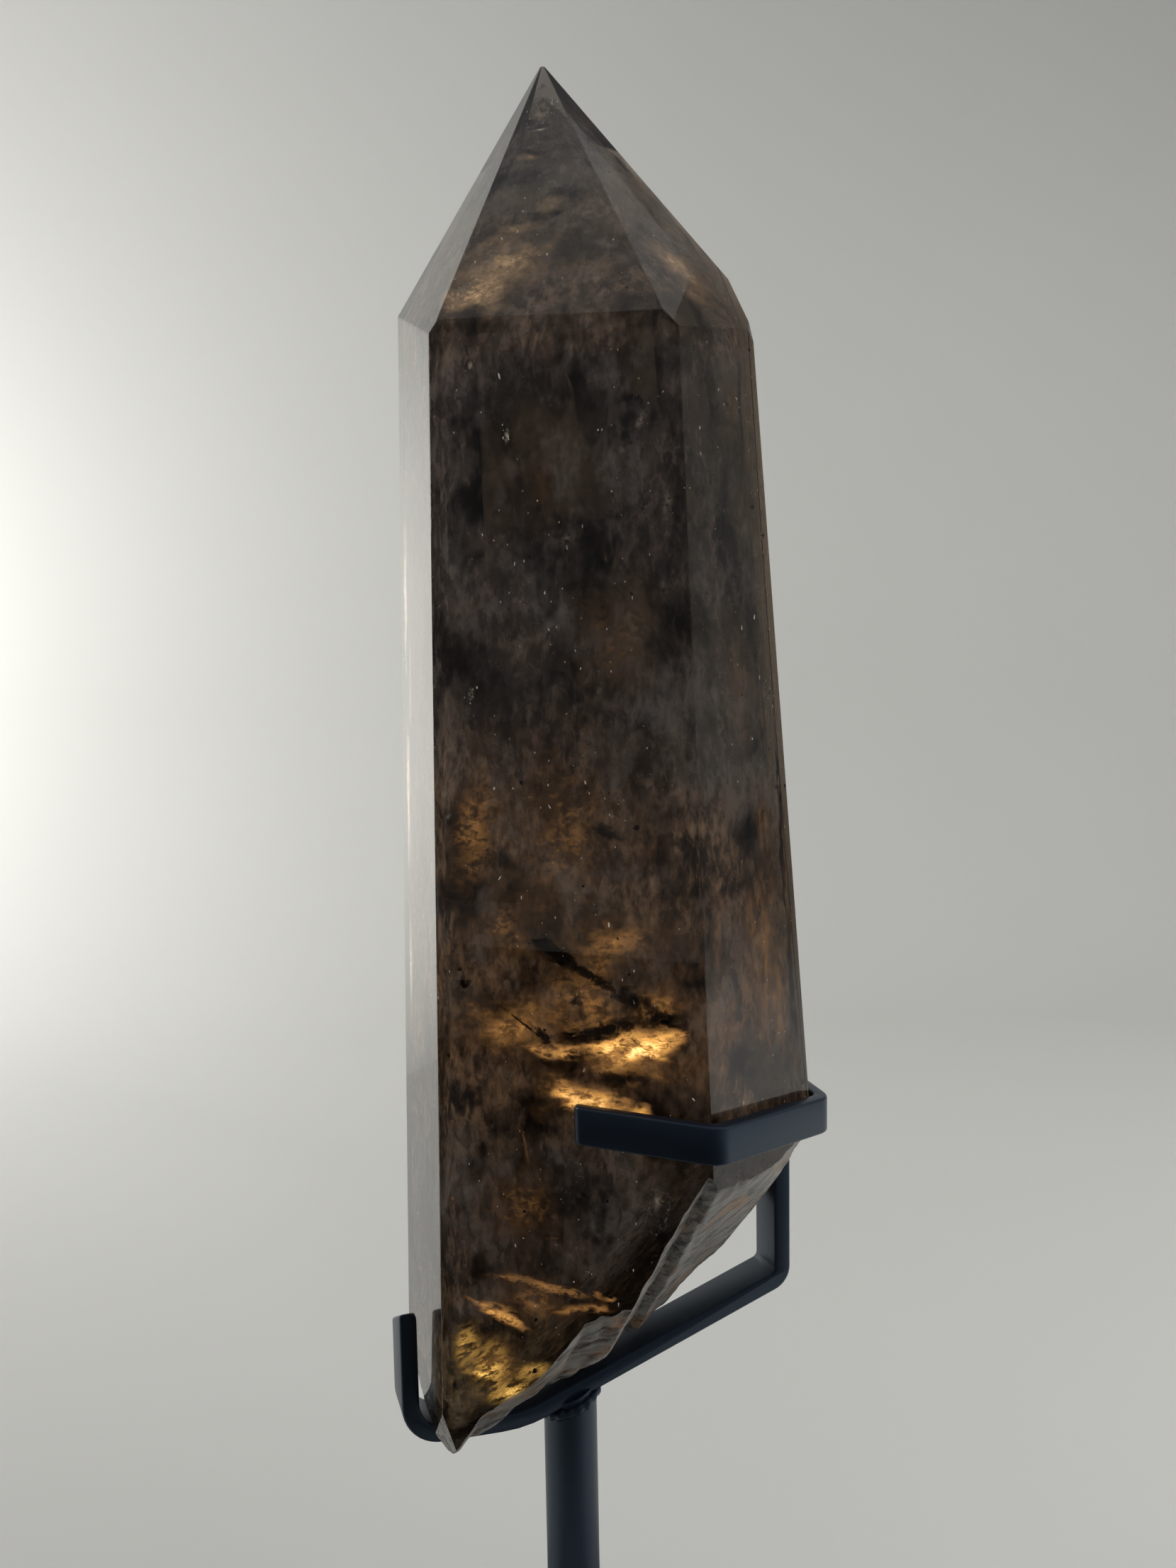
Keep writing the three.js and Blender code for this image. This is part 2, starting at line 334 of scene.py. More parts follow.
@dataclass(frozen=True)
class SmokyQuartz:
    """Clear brown quartz with polished faces and a rough, frosted break.

    Attributes:
        ior: Index of refraction of quartz.
        smoke: Colour that the absorption leaves.
        density: How strongly it absorbs.
        clear: Tint of the polished faces, and tip the darker tint towards the very point, which is
            painted shade.
        tip_from: Height in millimetres from which the tint changes, over tip_blend.
        polish: Least and greatest roughness of the polish, in smears of the size smear.
        frost: Colour of the break's ledges, and orange_glint the one of its patches, which are
            painted orange glints.
        bare: Tint of the break where it is clear.
        split: Turns of the ledges, and how long they are drawn out.
        ledge: Size of the ledges; grit and patch are the sizes of the finer and coarser pattern.
    """

    ior: float = 1.544
    smoke: Colour = (0.5, 0.44, 0.37)
    density: float = 125.0
    clear: Colour = (0.9, 0.88, 0.86)
    tip: Colour = (0.3, 0.27, 0.25)
    tip_from: float = 296.0
    tip_blend: float = 22.0
    polish: tuple[float, float] = (0.012, 0.05)
    smear: float = 9.0
    frost: Colour = (0.36, 0.34, 0.31)
    # Colour of the painted orange glints on the break.
    orange_glint: Colour = (0.38, 0.22, 0.12)
    bare: Colour = (0.93, 0.9, 0.86)
    split: tuple[Sequence[float], Sequence[float]] = ((0, -28, 19), (4.5, 1.4, 1.0))
    ledge: float = 1.5
    grit: float = 0.35
    patch: float = 7.0

    def material(self) -> bpy.types.Material:
        """Build the material. The mesh stores which faces belong to the break as "rough"."""
        graph = Graph.paint("smoky_quartz")
        smear = graph.clouds(self.smear, 2.0, 0.6).between(0.5, 0.75)
        # Painted shade: the faces are tinted darker towards the point, for the dark surroundings that
        # it shows.
        painted_tip_shade = graph.height.between(
            self.tip_from * MM, (self.tip_from + self.tip_blend) * MM
        )
        least, most = self.polish
        polished = graph.principled(
            Base_Color=graph.blend(painted_tip_shade, self.clear, self.tip),
            Roughness=least + (most - least) * smear,
            IOR=self.ior,
            Transmission_Weight=1.0,
        )
        ledge = graph.clouds(self.ledge, 4.0, 0.6, 0.3, at=graph.grained(*self.split))
        grit = graph.clouds(self.grit, 2.0, 0.6)
        patch = graph.clouds(self.patch, 3.0, 0.6)
        frost = graph.blend(ledge.between(0.4, 0.62), tinted(self.frost, 0.5), self.frost)
        frosted = graph.principled(
            # The orange patches over the break are painted orange glints.
            Base_Color=graph.blend(patch.between(0.52, 0.7), frost, self.orange_glint),
            Roughness=0.22 + 0.3 * grit,
            IOR=self.ior,
            Transmission_Weight=0.3,
            Normal=graph.bump(0.75 * ledge + 0.25 * grit, 0.7),
        )
        clear = graph.principled(
            Base_Color=(*self.bare, 1.0),
            Roughness=0.14 + 0.16 * grit,
            IOR=self.ior,
            Transmission_Weight=1.0,
            Normal=graph.bump(ledge, 0.5),
        )
        cover = 0.3 + 0.7 * (ledge + 0.3 * grit).between(0.44, 0.68)
        broken = graph.mixed(cover, clear, frosted)
        surface = graph.mixed(graph.stored("rough"), polished, broken)
        smoke = graph.node(
            "ShaderNodeVolumeAbsorption", {}, {"Color": (*self.smoke, 1.0), "Density": self.density}
        )
        return graph.finish(surface, smoke)


# Colour of the smoke for each height in millimetres. The smoke also shines in it, so its warm heights
# paint an amber glow.
SMOKE_AND_GLOW_TONE_BY_HEIGHT: Sequence[tuple[float, Colour]] = (
    (96, (0.95, 0.66, 0.3)), (108, (0.85, 0.56, 0.24)), (118, (0.5, 0.33, 0.2)),
    (130, (0.4, 0.28, 0.21)), (146, (0.6, 0.38, 0.22)), (156, (1.0, 0.56, 0.27)),
    (172, (1.0, 0.58, 0.3)), (192, (0.95, 0.63, 0.4)), (212, (0.5, 0.37, 0.29)),
    (262, (0.42, 0.33, 0.29)), (267, (0.9, 0.6, 0.4)), (282, (0.95, 0.72, 0.52)),
    (294, (0.42, 0.36, 0.33)), (320, (0.36, 0.34, 0.33)),
)


@dataclass(frozen=True)
class Veil:
    """Wispy smoke inside the quartz: a thin surface with holes, so that the depth shows through.

    Attributes:
        name: The piece's and the material's name.
        size: Size of its clouds in millimetres.
        cover: Cloud levels from which it starts to cover and covers in full.
        strength: Its greatest cover.
        tall: Scale of heights in the pattern, below 1 for taller clouds.
        wisp: Size of the wisps as a share of the clouds'; zone is that of the coarse zones.
        sway: How far the zones shift the colours of the heights, in millimetres.
        dark: Its dark colour, and grey the colour that part of its light places have.
        painted_glow: How brightly it shines: emission that paints light on the smoke.
    """

    name: str
    size: float
    cover: tuple[float, float]
    strength: float
    tall: float = 0.75
    wisp: float = 0.16
    zone: float = 1.6
    sway: float = 22.0
    dark: Colour = (0.06, 0.047, 0.045)
    grey: Colour = (0.36, 0.33, 0.31)
    painted_glow: float = 0.15

    def material(self) -> bpy.types.Material:
        """Build the material. The mesh stores "rim", 1 where the surface has to fade out."""
        graph = Graph.paint(self.name)
        clouds = graph.clouds(self.size, 3.0, 0.62, 0.2, at=graph.drawn_up(self.tall))
        upright = graph.drawn_up(self.tall * 0.7)
        wisps = graph.clouds(self.size * self.wisp, 3.0, 0.66, 0.3, at=upright)
        zones = graph.clouds(self.size * self.zone, 2.0, 0.6, 0.3)
        low, high = SMOKE_AND_GLOW_TONE_BY_HEIGHT[0][0], SMOKE_AND_GLOW_TONE_BY_HEIGHT[-1][0]
        stops = [((z - low) / (high - low), tone) for z, tone in SMOKE_AND_GLOW_TONE_BY_HEIGHT]
        shifted = graph.height / MM + (self.sway * (zones - 0.5) - low)
        warm = graph.ramp(shifted / (high - low), stops)
        light = graph.blend(0.75 * zones.between(0.46, 0.62), warm, self.grey)
        colour = graph.blend((0.55 * zones + 0.45 * wisps).between(0.37, 0.65), self.dark, light)
        cover = clouds.between(*self.cover) * (0.5 + 0.5 * wisps.between(0.34, 0.64))
        surface = graph.principled(
            Base_Color=colour,
            Roughness=0.5,
            Alpha=self.strength * cover * graph.stored("rim").between(1.0, 0.35),
            # Emission paints light on the smoke: it glows in its own colour instead of being lit
            # through the quartz.
            Emission_Color=colour,
            Emission_Strength=self.painted_glow,
        )
        return graph.finish(surface)


@dataclass(frozen=True)
class Glow:
    """Inner crack or haze with a painted glow: its emission stands in for light that it catches from
    behind.

    Attributes:
        name: The material's name.
        heat: Its colours from unlit to brightest.
        strength: How brightly its painted glow shines.
        ridge: Share of fine bright ridges, against soft cloud.
        band: How tightly it keeps to the sheet's middle line, 0 for all over.
        grain: Size of its pattern.
        flat: How much the pattern is drawn out sideways, below 1, or upwards, above 1.
        slant: Turn of the drawn-out pattern in degrees, upwards to the right.
        body: How solid it is.
        veil: Its greatest cover, low for a haze that only adds light.
        fill: Least level of its cloud.
    """

    name: str
    heat: Sequence[tuple[float, Colour]]
    strength: float
    ridge: float
    band: float
    grain: float
    flat: float = 0.5
    body: float = 0.6
    veil: float = 0.9
    fill: float = 0.0
    slant: float = 0.0

    def material(self) -> bpy.types.Material:
        """Build the material. The mesh stores "rim", 1 at an edge, and "tone" for each sheet."""
        graph = Graph.paint(self.name)
        at = graph.grained((0.0, -self.slant, 0.0), (1 / self.flat, 1 / self.flat, 1.0))
        lumps = graph.clouds(self.grain * 3.4, 2.0, 0.55, 0.3, at=at)
        fine = graph.clouds(self.grain, 4.0, 0.7, 0.4, at=at)
        rim = graph.stored("rim")
        torn = rim + 1.5 * (lumps - 0.5) + 0.8 * (fine - 0.5)
        inner = rim.between(1.0, 0.72) * torn.between(0.95, 0.5 * self.band - 0.05)
        sway = abs(graph.stored("across") + 2.0 * (lumps - 0.5) + 1.6 * (fine - 0.5))
        core = 1 - self.band * sway.between(0.1, 1.0)
        cloud = (0.36 * lumps + 0.64 * fine).between(0.42, 0.6)
        cloud = self.fill + (1 - self.fill) * cloud
        chunks = 0.1 + 0.5 * lumps.between(0.36, 0.58) + 0.4 * fine.between(0.38, 0.56)
        mass = (1 - self.band) * cloud + self.band * chunks
        lines = (1 - abs(2 * fine - 1)).between(0.8, 0.99)
        lit = mass * ((1 - self.ridge) + self.ridge * lines)
        glow_level = graph.stored("tone") * inner * core * (0.12 + 0.88 * lit)
        colour = graph.ramp(glow_level, self.heat)
        surface = graph.principled(
            Base_Color=colour,
            Roughness=0.4,
            Alpha=self.veil * inner * core * (1.3 * glow_level + self.body * mass).between(0.03, 0.75),
            # Emission paints the glow; these sheets are no lamps.
            Emission_Color=colour,
            Emission_Strength=self.strength,
        )
        return graph.finish(surface)


@dataclass(frozen=True)
class Flaw:
    """Dark ragged crack."""

    colour: Colour = (0.012, 0.009, 0.008)
    size: float = 1.4

    def material(self) -> bpy.types.Material:
        """Build the material. The mesh stores "rim", 1 at an edge, and "tone" for each sheet."""
        graph = Graph.paint("dark_flaw")
        torn = graph.clouds(self.size, 4.0, 0.65, 0.8)
        inner = graph.stored("rim").between(1.0, 0.2)
        cover = (torn + 0.22 * inner).between(0.54, 0.68)
        surface = graph.principled(
            Base_Color=graph.blend(torn, self.colour, tinted(self.colour, 2.5)),
            Roughness=0.45,
            Alpha=0.85 * inner * cover * graph.stored("tone"),
        )
        return graph.finish(surface)


@dataclass(frozen=True)
class Speck:
    """Small inclusion."""

    name: str
    colour: Colour
    metallic: float
    roughness: float
    shine: float = 0.0
    grain: float = 0.4

    def material(self) -> bpy.types.Material:
        """Build the material."""
        graph = Graph.paint(self.name)
        grain = graph.clouds(self.grain, 3.0, 0.6)
        surface = graph.principled(
            Base_Color=graph.blend(grain, tinted(self.colour, 0.55), self.colour),
            Metallic=self.metallic,
            Roughness=self.roughness + 0.25 * grain,
            # Emission of strength shine paints a glint on the grain.
            Emission_Color=(*self.colour, 1.0),
            Emission_Strength=self.shine,
            Normal=graph.bump(grain, 0.12),
        )
        return graph.finish(surface)


@dataclass(frozen=True)
class MattPaint:
    """Plain matt paint of the floor and the backdrop."""

    name: str
    colour: Colour
    mottle: float = 160.0

    def material(self) -> bpy.types.Material:
        """Build the material."""
        graph = Graph.paint(self.name)
        tone = graph.clouds(self.mottle, 3.0, 0.5)
        surface = graph.principled(
            Base_Color=graph.blend(tone, tinted(self.colour, 0.97), self.colour),
            Roughness=0.85,
        )
        return graph.finish(surface)


# Mesh helpers


def heading(turn: float, lean: float) -> Vector:
    """Unit vector from a heading and a lean, in degrees.

    Args:
        turn: 0 points towards the viewer and 90 to the right.
        lean: Upwards from the level.

    Returns:
        The direction.
    """
    turn, lean = math.radians(turn), math.radians(lean)
    flat = math.cos(lean)
    return Vector((math.sin(turn) * flat, -math.cos(turn) * flat, math.sin(lean)))


def turned(degrees: float, axis: str = "Z", size: int = 3) -> Matrix:
    """Rotation about one axis, as a matrix of 3 or 4 rows."""
    return Matrix.Rotation(math.radians(degrees), size, axis)


def facing(normal: Vector) -> Matrix:
    """Rotation that brings +Z onto a direction."""
    return normal.to_track_quat("Z", "Y").to_matrix()


def verts_of(geometry: Iterable[object]) -> list[bmesh.types.BMVert]:
    """The vertices among an operator's results."""
    return [g for g in geometry if isinstance(g, bmesh.types.BMVert)]


def edges_of(geometry: Iterable[object]) -> list[bmesh.types.BMEdge]:
    """The edges among an operator's results."""
    return [g for g in geometry if isinstance(g, bmesh.types.BMEdge)]


def scaled(bm: bmesh.types.BMesh, factor: float) -> None:
    """Scale a whole mesh about the origin."""
    bmesh.ops.scale(bm, vec=(factor,) * 3, verts=bm.verts)


def height_on(line: Line, u: float) -> float:
    """Height on a line of (u, height) points, level beyond its ends."""
    i = min(max(bisect_right(line, u, key=lambda point: point[0]), 1), len(line) - 1)
    (u0, z0), (u1, z1) = line[i - 1], line[i]
    share = min(max((u - u0) / (u1 - u0), 0.0), 1.0)
    return z0 + (z1 - z0) * share


def cut_away(bm: bmesh.types.BMesh, point: Vector, normal: Vector) -> None:
    """Remove what lies beyond a plane from a closed mesh, and close the cut."""
    cut = bmesh.ops.bisect_plane(
        bm,
        geom=bm.verts[:] + bm.edges[:] + bm.faces[:],
        dist=1e-5,
        plane_co=point,
        plane_no=normal,
        clear_outer=True,
    )["geom_cut"]
    rim = edges_of(cut)
    if rim:
        bmesh.ops.edgeloop_fill(bm, edges=rim)


def bevel(
    bm: bmesh.types.BMesh, edges: list[bmesh.types.BMEdge], width: float, segments: int
) -> None:
    """Round edges over."""
    bmesh.ops.bevel(
        bm,
        geom=edges,
        offset=width,
        offset_type="OFFSET",
        affect="EDGES",
        segments=segments,
        profile=0.5,
        material=-1,
        clamp_overlap=True,
    )


def mark_sharp(bm: bmesh.types.BMesh, degrees: float) -> None:
    """Smooth every face, and mark the edges that are steeper than an angle as sharp."""
    limit = math.radians(degrees)
    for face in bm.faces:
        face.smooth = True
    for edge in bm.edges:
        edge.smooth = len(edge.link_faces) == 2 and edge.calc_face_angle(0.0) < limit


def linked(bm: bmesh.types.BMesh, name: str) -> bpy.types.Object:
    """Turn a mesh into an object of the scene."""
    mesh = bpy.data.meshes.new(name)
    bm.to_mesh(mesh)
    bm.free()
    made = bpy.data.objects.new(name, mesh)
    bpy.context.scene.collection.objects.link(made)
    return made


def to_object(bm: bmesh.types.BMesh, name: str) -> bpy.types.Object:
    """Turn a mesh in millimetres into an object in metres at the origin."""
    scaled(bm, MM)
    return linked(bm, name)


def baked(made: bpy.types.Object) -> bpy.types.Mesh:
    """The object's mesh with its modifiers applied."""
    graph = bpy.context.evaluated_depsgraph_get()
    return bpy.data.meshes.new_from_object(made.evaluated_get(graph))


def subtract(made: bpy.types.Object, cutter: bpy.types.Object) -> None:
    """Cut one closed object out of another for good, and delete the cutter."""
    cut = made.modifiers.new("cut", "BOOLEAN")
    cut.operation = "DIFFERENCE"
    cut.solver = "MANIFOLD"
    cut.object = cutter
    mesh = baked(made)
    made.modifiers.clear()
    made.data = mesh
    bpy.data.objects.remove(cutter)


def put_on(
    made: bpy.types.Object,
    finish: bpy.types.Material,
    stands_for: Iterable[str] = (),
) -> None:
    """Dress a piece, ride it on the part's body and report it.

    Args:
        made: The piece.
        finish: Its material.
        stands_for: The CAD nodes that it replaces.
    """
    made.data.materials.clear()
    made.data.materials.append(finish)
    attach(made, BODY)
    if stands_for:
        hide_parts(*stands_for)
    log.info("%s: %d faces", made.name, len(made.data.polygons))


# Stand


@dataclass
class SlingStand:
    """Black steel stand: square plate, round post, flat-bar sling and clasp band."""

    finish: PowderCoat = field(default_factory=PowderCoat)
    turn: float = TURN
    rounding: Sequence[tuple[str, float]] = (
        ("cradle_bar", 0.45), ("clasp_band", 0.4), ("base_plate", 0.35),
    )
    sharp_from: float = 28.0
    crease: float = 40.0
    post_radius: float = 4.75
    post_sides: int = 72
    post_foot: float = 10.0
    post_blank: float = 120.0
    slope: float = 18.2
    sunk: float = 1.0
    bead: float = 0.9
    bead_sides: int = 10
    bead_drop: float = 1.9
    ripples: int = 19
    ripple: float = 0.16
    unevenness: float = 0.2
    bead_crease: float = 80.0

    def build(self) -> None:
        """Make every piece of the stand."""
        coat = self.finish.material()
        for node, width in self.rounding:
            put_on(self.softened(node, width), coat, [node])
        put_on(self.post(), coat, ["post"])
        put_on(self.post_bead(), coat)

    def softened(self, node: str, width: float) -> bpy.types.Object:
        """Copy a CAD node with its sharp edges rounded over.

        Args:
            node: The CAD node's name.
            width: Width of the rounding in millimetres.

        Returns:
            The new object.
        """
        bm = bmesh.new()
        bm.from_mesh(bpy.data.objects[node].data)
        scaled(bm, 1 / MM)
        bmesh.ops.remove_doubles(bm, verts=bm.verts, dist=0.002)
        flat = math.radians(1.0)
        bmesh.ops.dissolve_limit(bm, angle_limit=flat, verts=bm.verts, edges=bm.edges)
        limit = math.radians(self.sharp_from)
        bevel(bm, [e for e in bm.edges if e.calc_face_angle(0.0) > limit], width, 3)
        mark_sharp(bm, self.crease)
        return to_object(bm, f"steel_{node}")

    def underside(self, u: float) -> float:
        """Height of the sling's middle line over the post, at a distance along the bar."""
        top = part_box("post")[1].z / MM
        return top + math.tan(math.radians(self.slope)) * (u - self.post_radius) + self.sunk

    def post(self) -> bpy.types.Object:
        """Round post that runs from the plate up into the sling's bar."""
        bm = bmesh.new()
        bmesh.ops.create_cone(
            bm,
            cap_ends=True,
            segments=self.post_sides,
            radius1=self.post_radius,
            radius2=self.post_radius,
            depth=self.post_blank,
            matrix=Matrix.Translation((0, 0, self.post_foot + self.post_blank / 2)),
        )
        slope = math.radians(self.slope)
        normal = Vector((-math.sin(slope), 0, math.cos(slope)))
        cut_away(bm, Vector((0, 0, self.underside(0))), normal)
        bmesh.ops.rotate(bm, matrix=turned(self.turn), verts=bm.verts)
        mark_sharp(bm, self.crease)
        return to_object(bm, "steel_post")

    def post_bead(self) -> bpy.types.Object:
        """Rippled weld beads round the post, at the plate and under the bar."""
        bm = bmesh.new()
        for under_bar in (False, True):
            place = Matrix.Translation((self.post_radius, 0, 0)) @ turned(90, "X", 4)
            ring = bmesh.ops.create_circle(
                bm, segments=self.bead_sides, radius=self.bead, matrix=place
            )["verts"]
            edges = list(dict.fromkeys(e for v in ring for e in v.link_edges))
            bmesh.ops.spin(
                bm,
                geom=ring + edges,
                cent=(0, 0, 0),
                axis=(0, 0, 1),
                angle=math.tau,
                steps=self.post_sides,
                use_merge=True,
            )
            fresh = [v for v in bm.verts if not v.tag]
            for v in fresh:
                v.tag = True
                around = math.atan2(v.co.y, v.co.x)
                waves = self.ripple * math.sin(around * self.ripples)
                ripple = 1 + waves + self.unevenness * noise.noise(v.co * 0.7)
                out = Vector((math.cos(around), math.sin(around), 0)) * self.post_radius
                v.co = out + (v.co - out) * ripple
                if under_bar:
                    v.co.z += self.underside(v.co.x) - self.bead_drop
                else:
                    v.co.z += self.post_foot
        bmesh.ops.rotate(bm, matrix=turned(self.turn), verts=bm.verts)
        bmesh.ops.remove_doubles(bm, verts=bm.verts, dist=1e-4)
        bmesh.ops.recalc_face_normals(bm, faces=bm.faces)
        mark_sharp(bm, self.bead_crease)
        return to_object(bm, "weld_beads")


# Crystal


@dataclass(frozen=True)
class Face:
    """Polished face: its heading, its lean from the vertical, and its distance from the middle."""

    turn: float
    lean: float
    reach: float


@dataclass(frozen=True)
class Chip:
    """Small flat chip at a corner."""

    at: tuple[float, float, float]
    turn: float
    lean: float


@dataclass
class BrokenBase:
    """Rough break of the crystal's foot, as heights over the sling's own frame.

    u runs along the sling's bar and v runs away from the viewer.
    """

    turn: float = TURN
    half: float = 46.0
    floor: float = 30.0
    over: float = 140.0
    bar_width: float = 7.9
    clear: float = 0.35
    back_rise: float = 0.3
    soften: float = 0.5
    relief: float = 1.1
    fine: float = 0.55
    cell: float = 0.45
    plunge: Line = (
        (-44, 72), (-24.4, 73.6), (-20.8, 76.7), (-14.5, 77.8), (-10.5, 79.6), (-5.8, 83.5),
        (0.5, 81.9), (4.4, 88.2), (9.2, 95), (10.8, 96.7), (12.3, 94.6), (21.1, 102.2),
        (26.1, 104.9), (34, 112.6), (44, 122),
    )
    steepness: Line = ((-44, 1.2), (12, 1.2), (21, 1.1), (44, 1.1))
    keel: Line = (
        (-44, 100), (-28, 92), (-24, 90), (-13, 88.9), (-5.9, 89.9), (15, 96.6), (17.7, 99.2),
        (25.6, 106.7), (31.5, 110.9), (36.4, 115.4), (44, 122.5),
    )
    front_rise: Line = (
        (-44, 0), (-24, 0), (-20.7, 0.12), (-16.7, 0.35), (-13, 0.55), (-8, 0.66), (44, 0.66),
    )
    bar_top: list[tuple[float, float]] = field(default_factory=list)

    def measure_bar(self) -> None:
        """Read the height of the sling's upper side from the frame."""
        bar = bpy.data.objects["cradle_bar"].data
        corners = [v.co / MM for v in bar.vertices]
        faces = [tuple(f.vertices) for f in bar.polygons]
        tree = BVHTree.FromPolygons(corners, faces)
        turn = turned(self.turn)
        for step in range(-50, 75):
            u = step * 0.5
            hit = tree.ray_cast(turn @ Vector((u, 0, self.over)), Vector((0, 0, -1)))[0]
            if hit is not None:
                self.bar_top.append((u, hit.z))

    def clearance(self, at: Vector) -> float:
        """How high a point of the frame lies over the break."""
        local = turned(-self.turn) @ at
        return at.z - self.height(local.x, local.y)

    @staticmethod
    def lattice(i: int, j: int) -> float:
        """Repeatable value between 0 and 1 for a lattice point."""
        value = math.sin(i * 127.1 + j * 311.7) * 43758.5453
        return value - math.floor(value)

    def bumps(self, x: float, y: float) -> float:
        """Smooth bumps between 0 and 1, one for each unit square."""
        i, j = math.floor(x), math.floor(y)
        a, b = ((t * t * (3 - 2 * t)) for t in (x - i, y - j))
        low = self.lattice(i, j) * (1 - a) + self.lattice(i + 1, j) * a
        high = self.lattice(i, j + 1) * (1 - a) + self.lattice(i + 1, j + 1) * a
        return low * (1 - b) + high * b

    def height(self, u: float, v: float) -> float:
        """Height of the break over a point of the sling's frame."""
        face = height_on(self.plunge, u) - height_on(self.steepness, u) * v
        rise = height_on(self.front_rise, u) if v < 0 else self.back_rise
        keel = height_on(self.keel, u) + rise * abs(v)
        join = max(face, keel) + self.soften * math.exp(-abs(face - keel) / (2 * self.soften))
        lumps = self.bumps(u / 11 + 3, v / 8 + 7) - 0.5
        ribs = abs(self.bumps(u / 3.2 - v / 11, v / 7 + u / 15) - 0.5) - 0.25
        rough = join + self.relief * (lumps - 1.4 * ribs) + self.fine * self.ledges(u, v)
        off = max(0.0, abs(v) - self.bar_width / 2 - self.clear)
        rest = height_on(self.bar_top, u) + self.clear - 1.5 * off
        return max(rough, rest)

    @staticmethod
    def ledges(u: float, v: float) -> float:
        """Thin ledges and steps that run along the rim, as in glass broken by hand."""
        along = Vector((u / 7, v / 1.5, 0.0))
        ridge = 1 - 2 * abs(noise.fractal(along, 0.9, 2.1, 4))
        steps = noise.noise(Vector((u / 3, v / 2.2, 5.0)))
        return 0.55 * (ridge - 0.6) + 0.35 * (round(steps * 4) / 4 - steps)

    def cutter(self) -> bpy.types.Object:
        """Closed block whose upper side is the break."""
        cells = round(2 * self.half / self.cell)
        bm = bmesh.new()
        bmesh.ops.create_grid(bm, x_segments=cells, y_segments=cells, size=self.half)
        for v in bm.verts:
            v.co.z = self.height(v.co.x, v.co.y)
        walls = bmesh.ops.extrude_face_region(bm, geom=bm.faces[:])["geom"]
        for v in verts_of(walls):
            v.co.z = self.floor
        bmesh.ops.recalc_face_normals(bm, faces=bm.faces)
        bmesh.ops.rotate(bm, matrix=turned(self.turn), verts=bm.verts)
        return to_object(bm, "break_cutter")


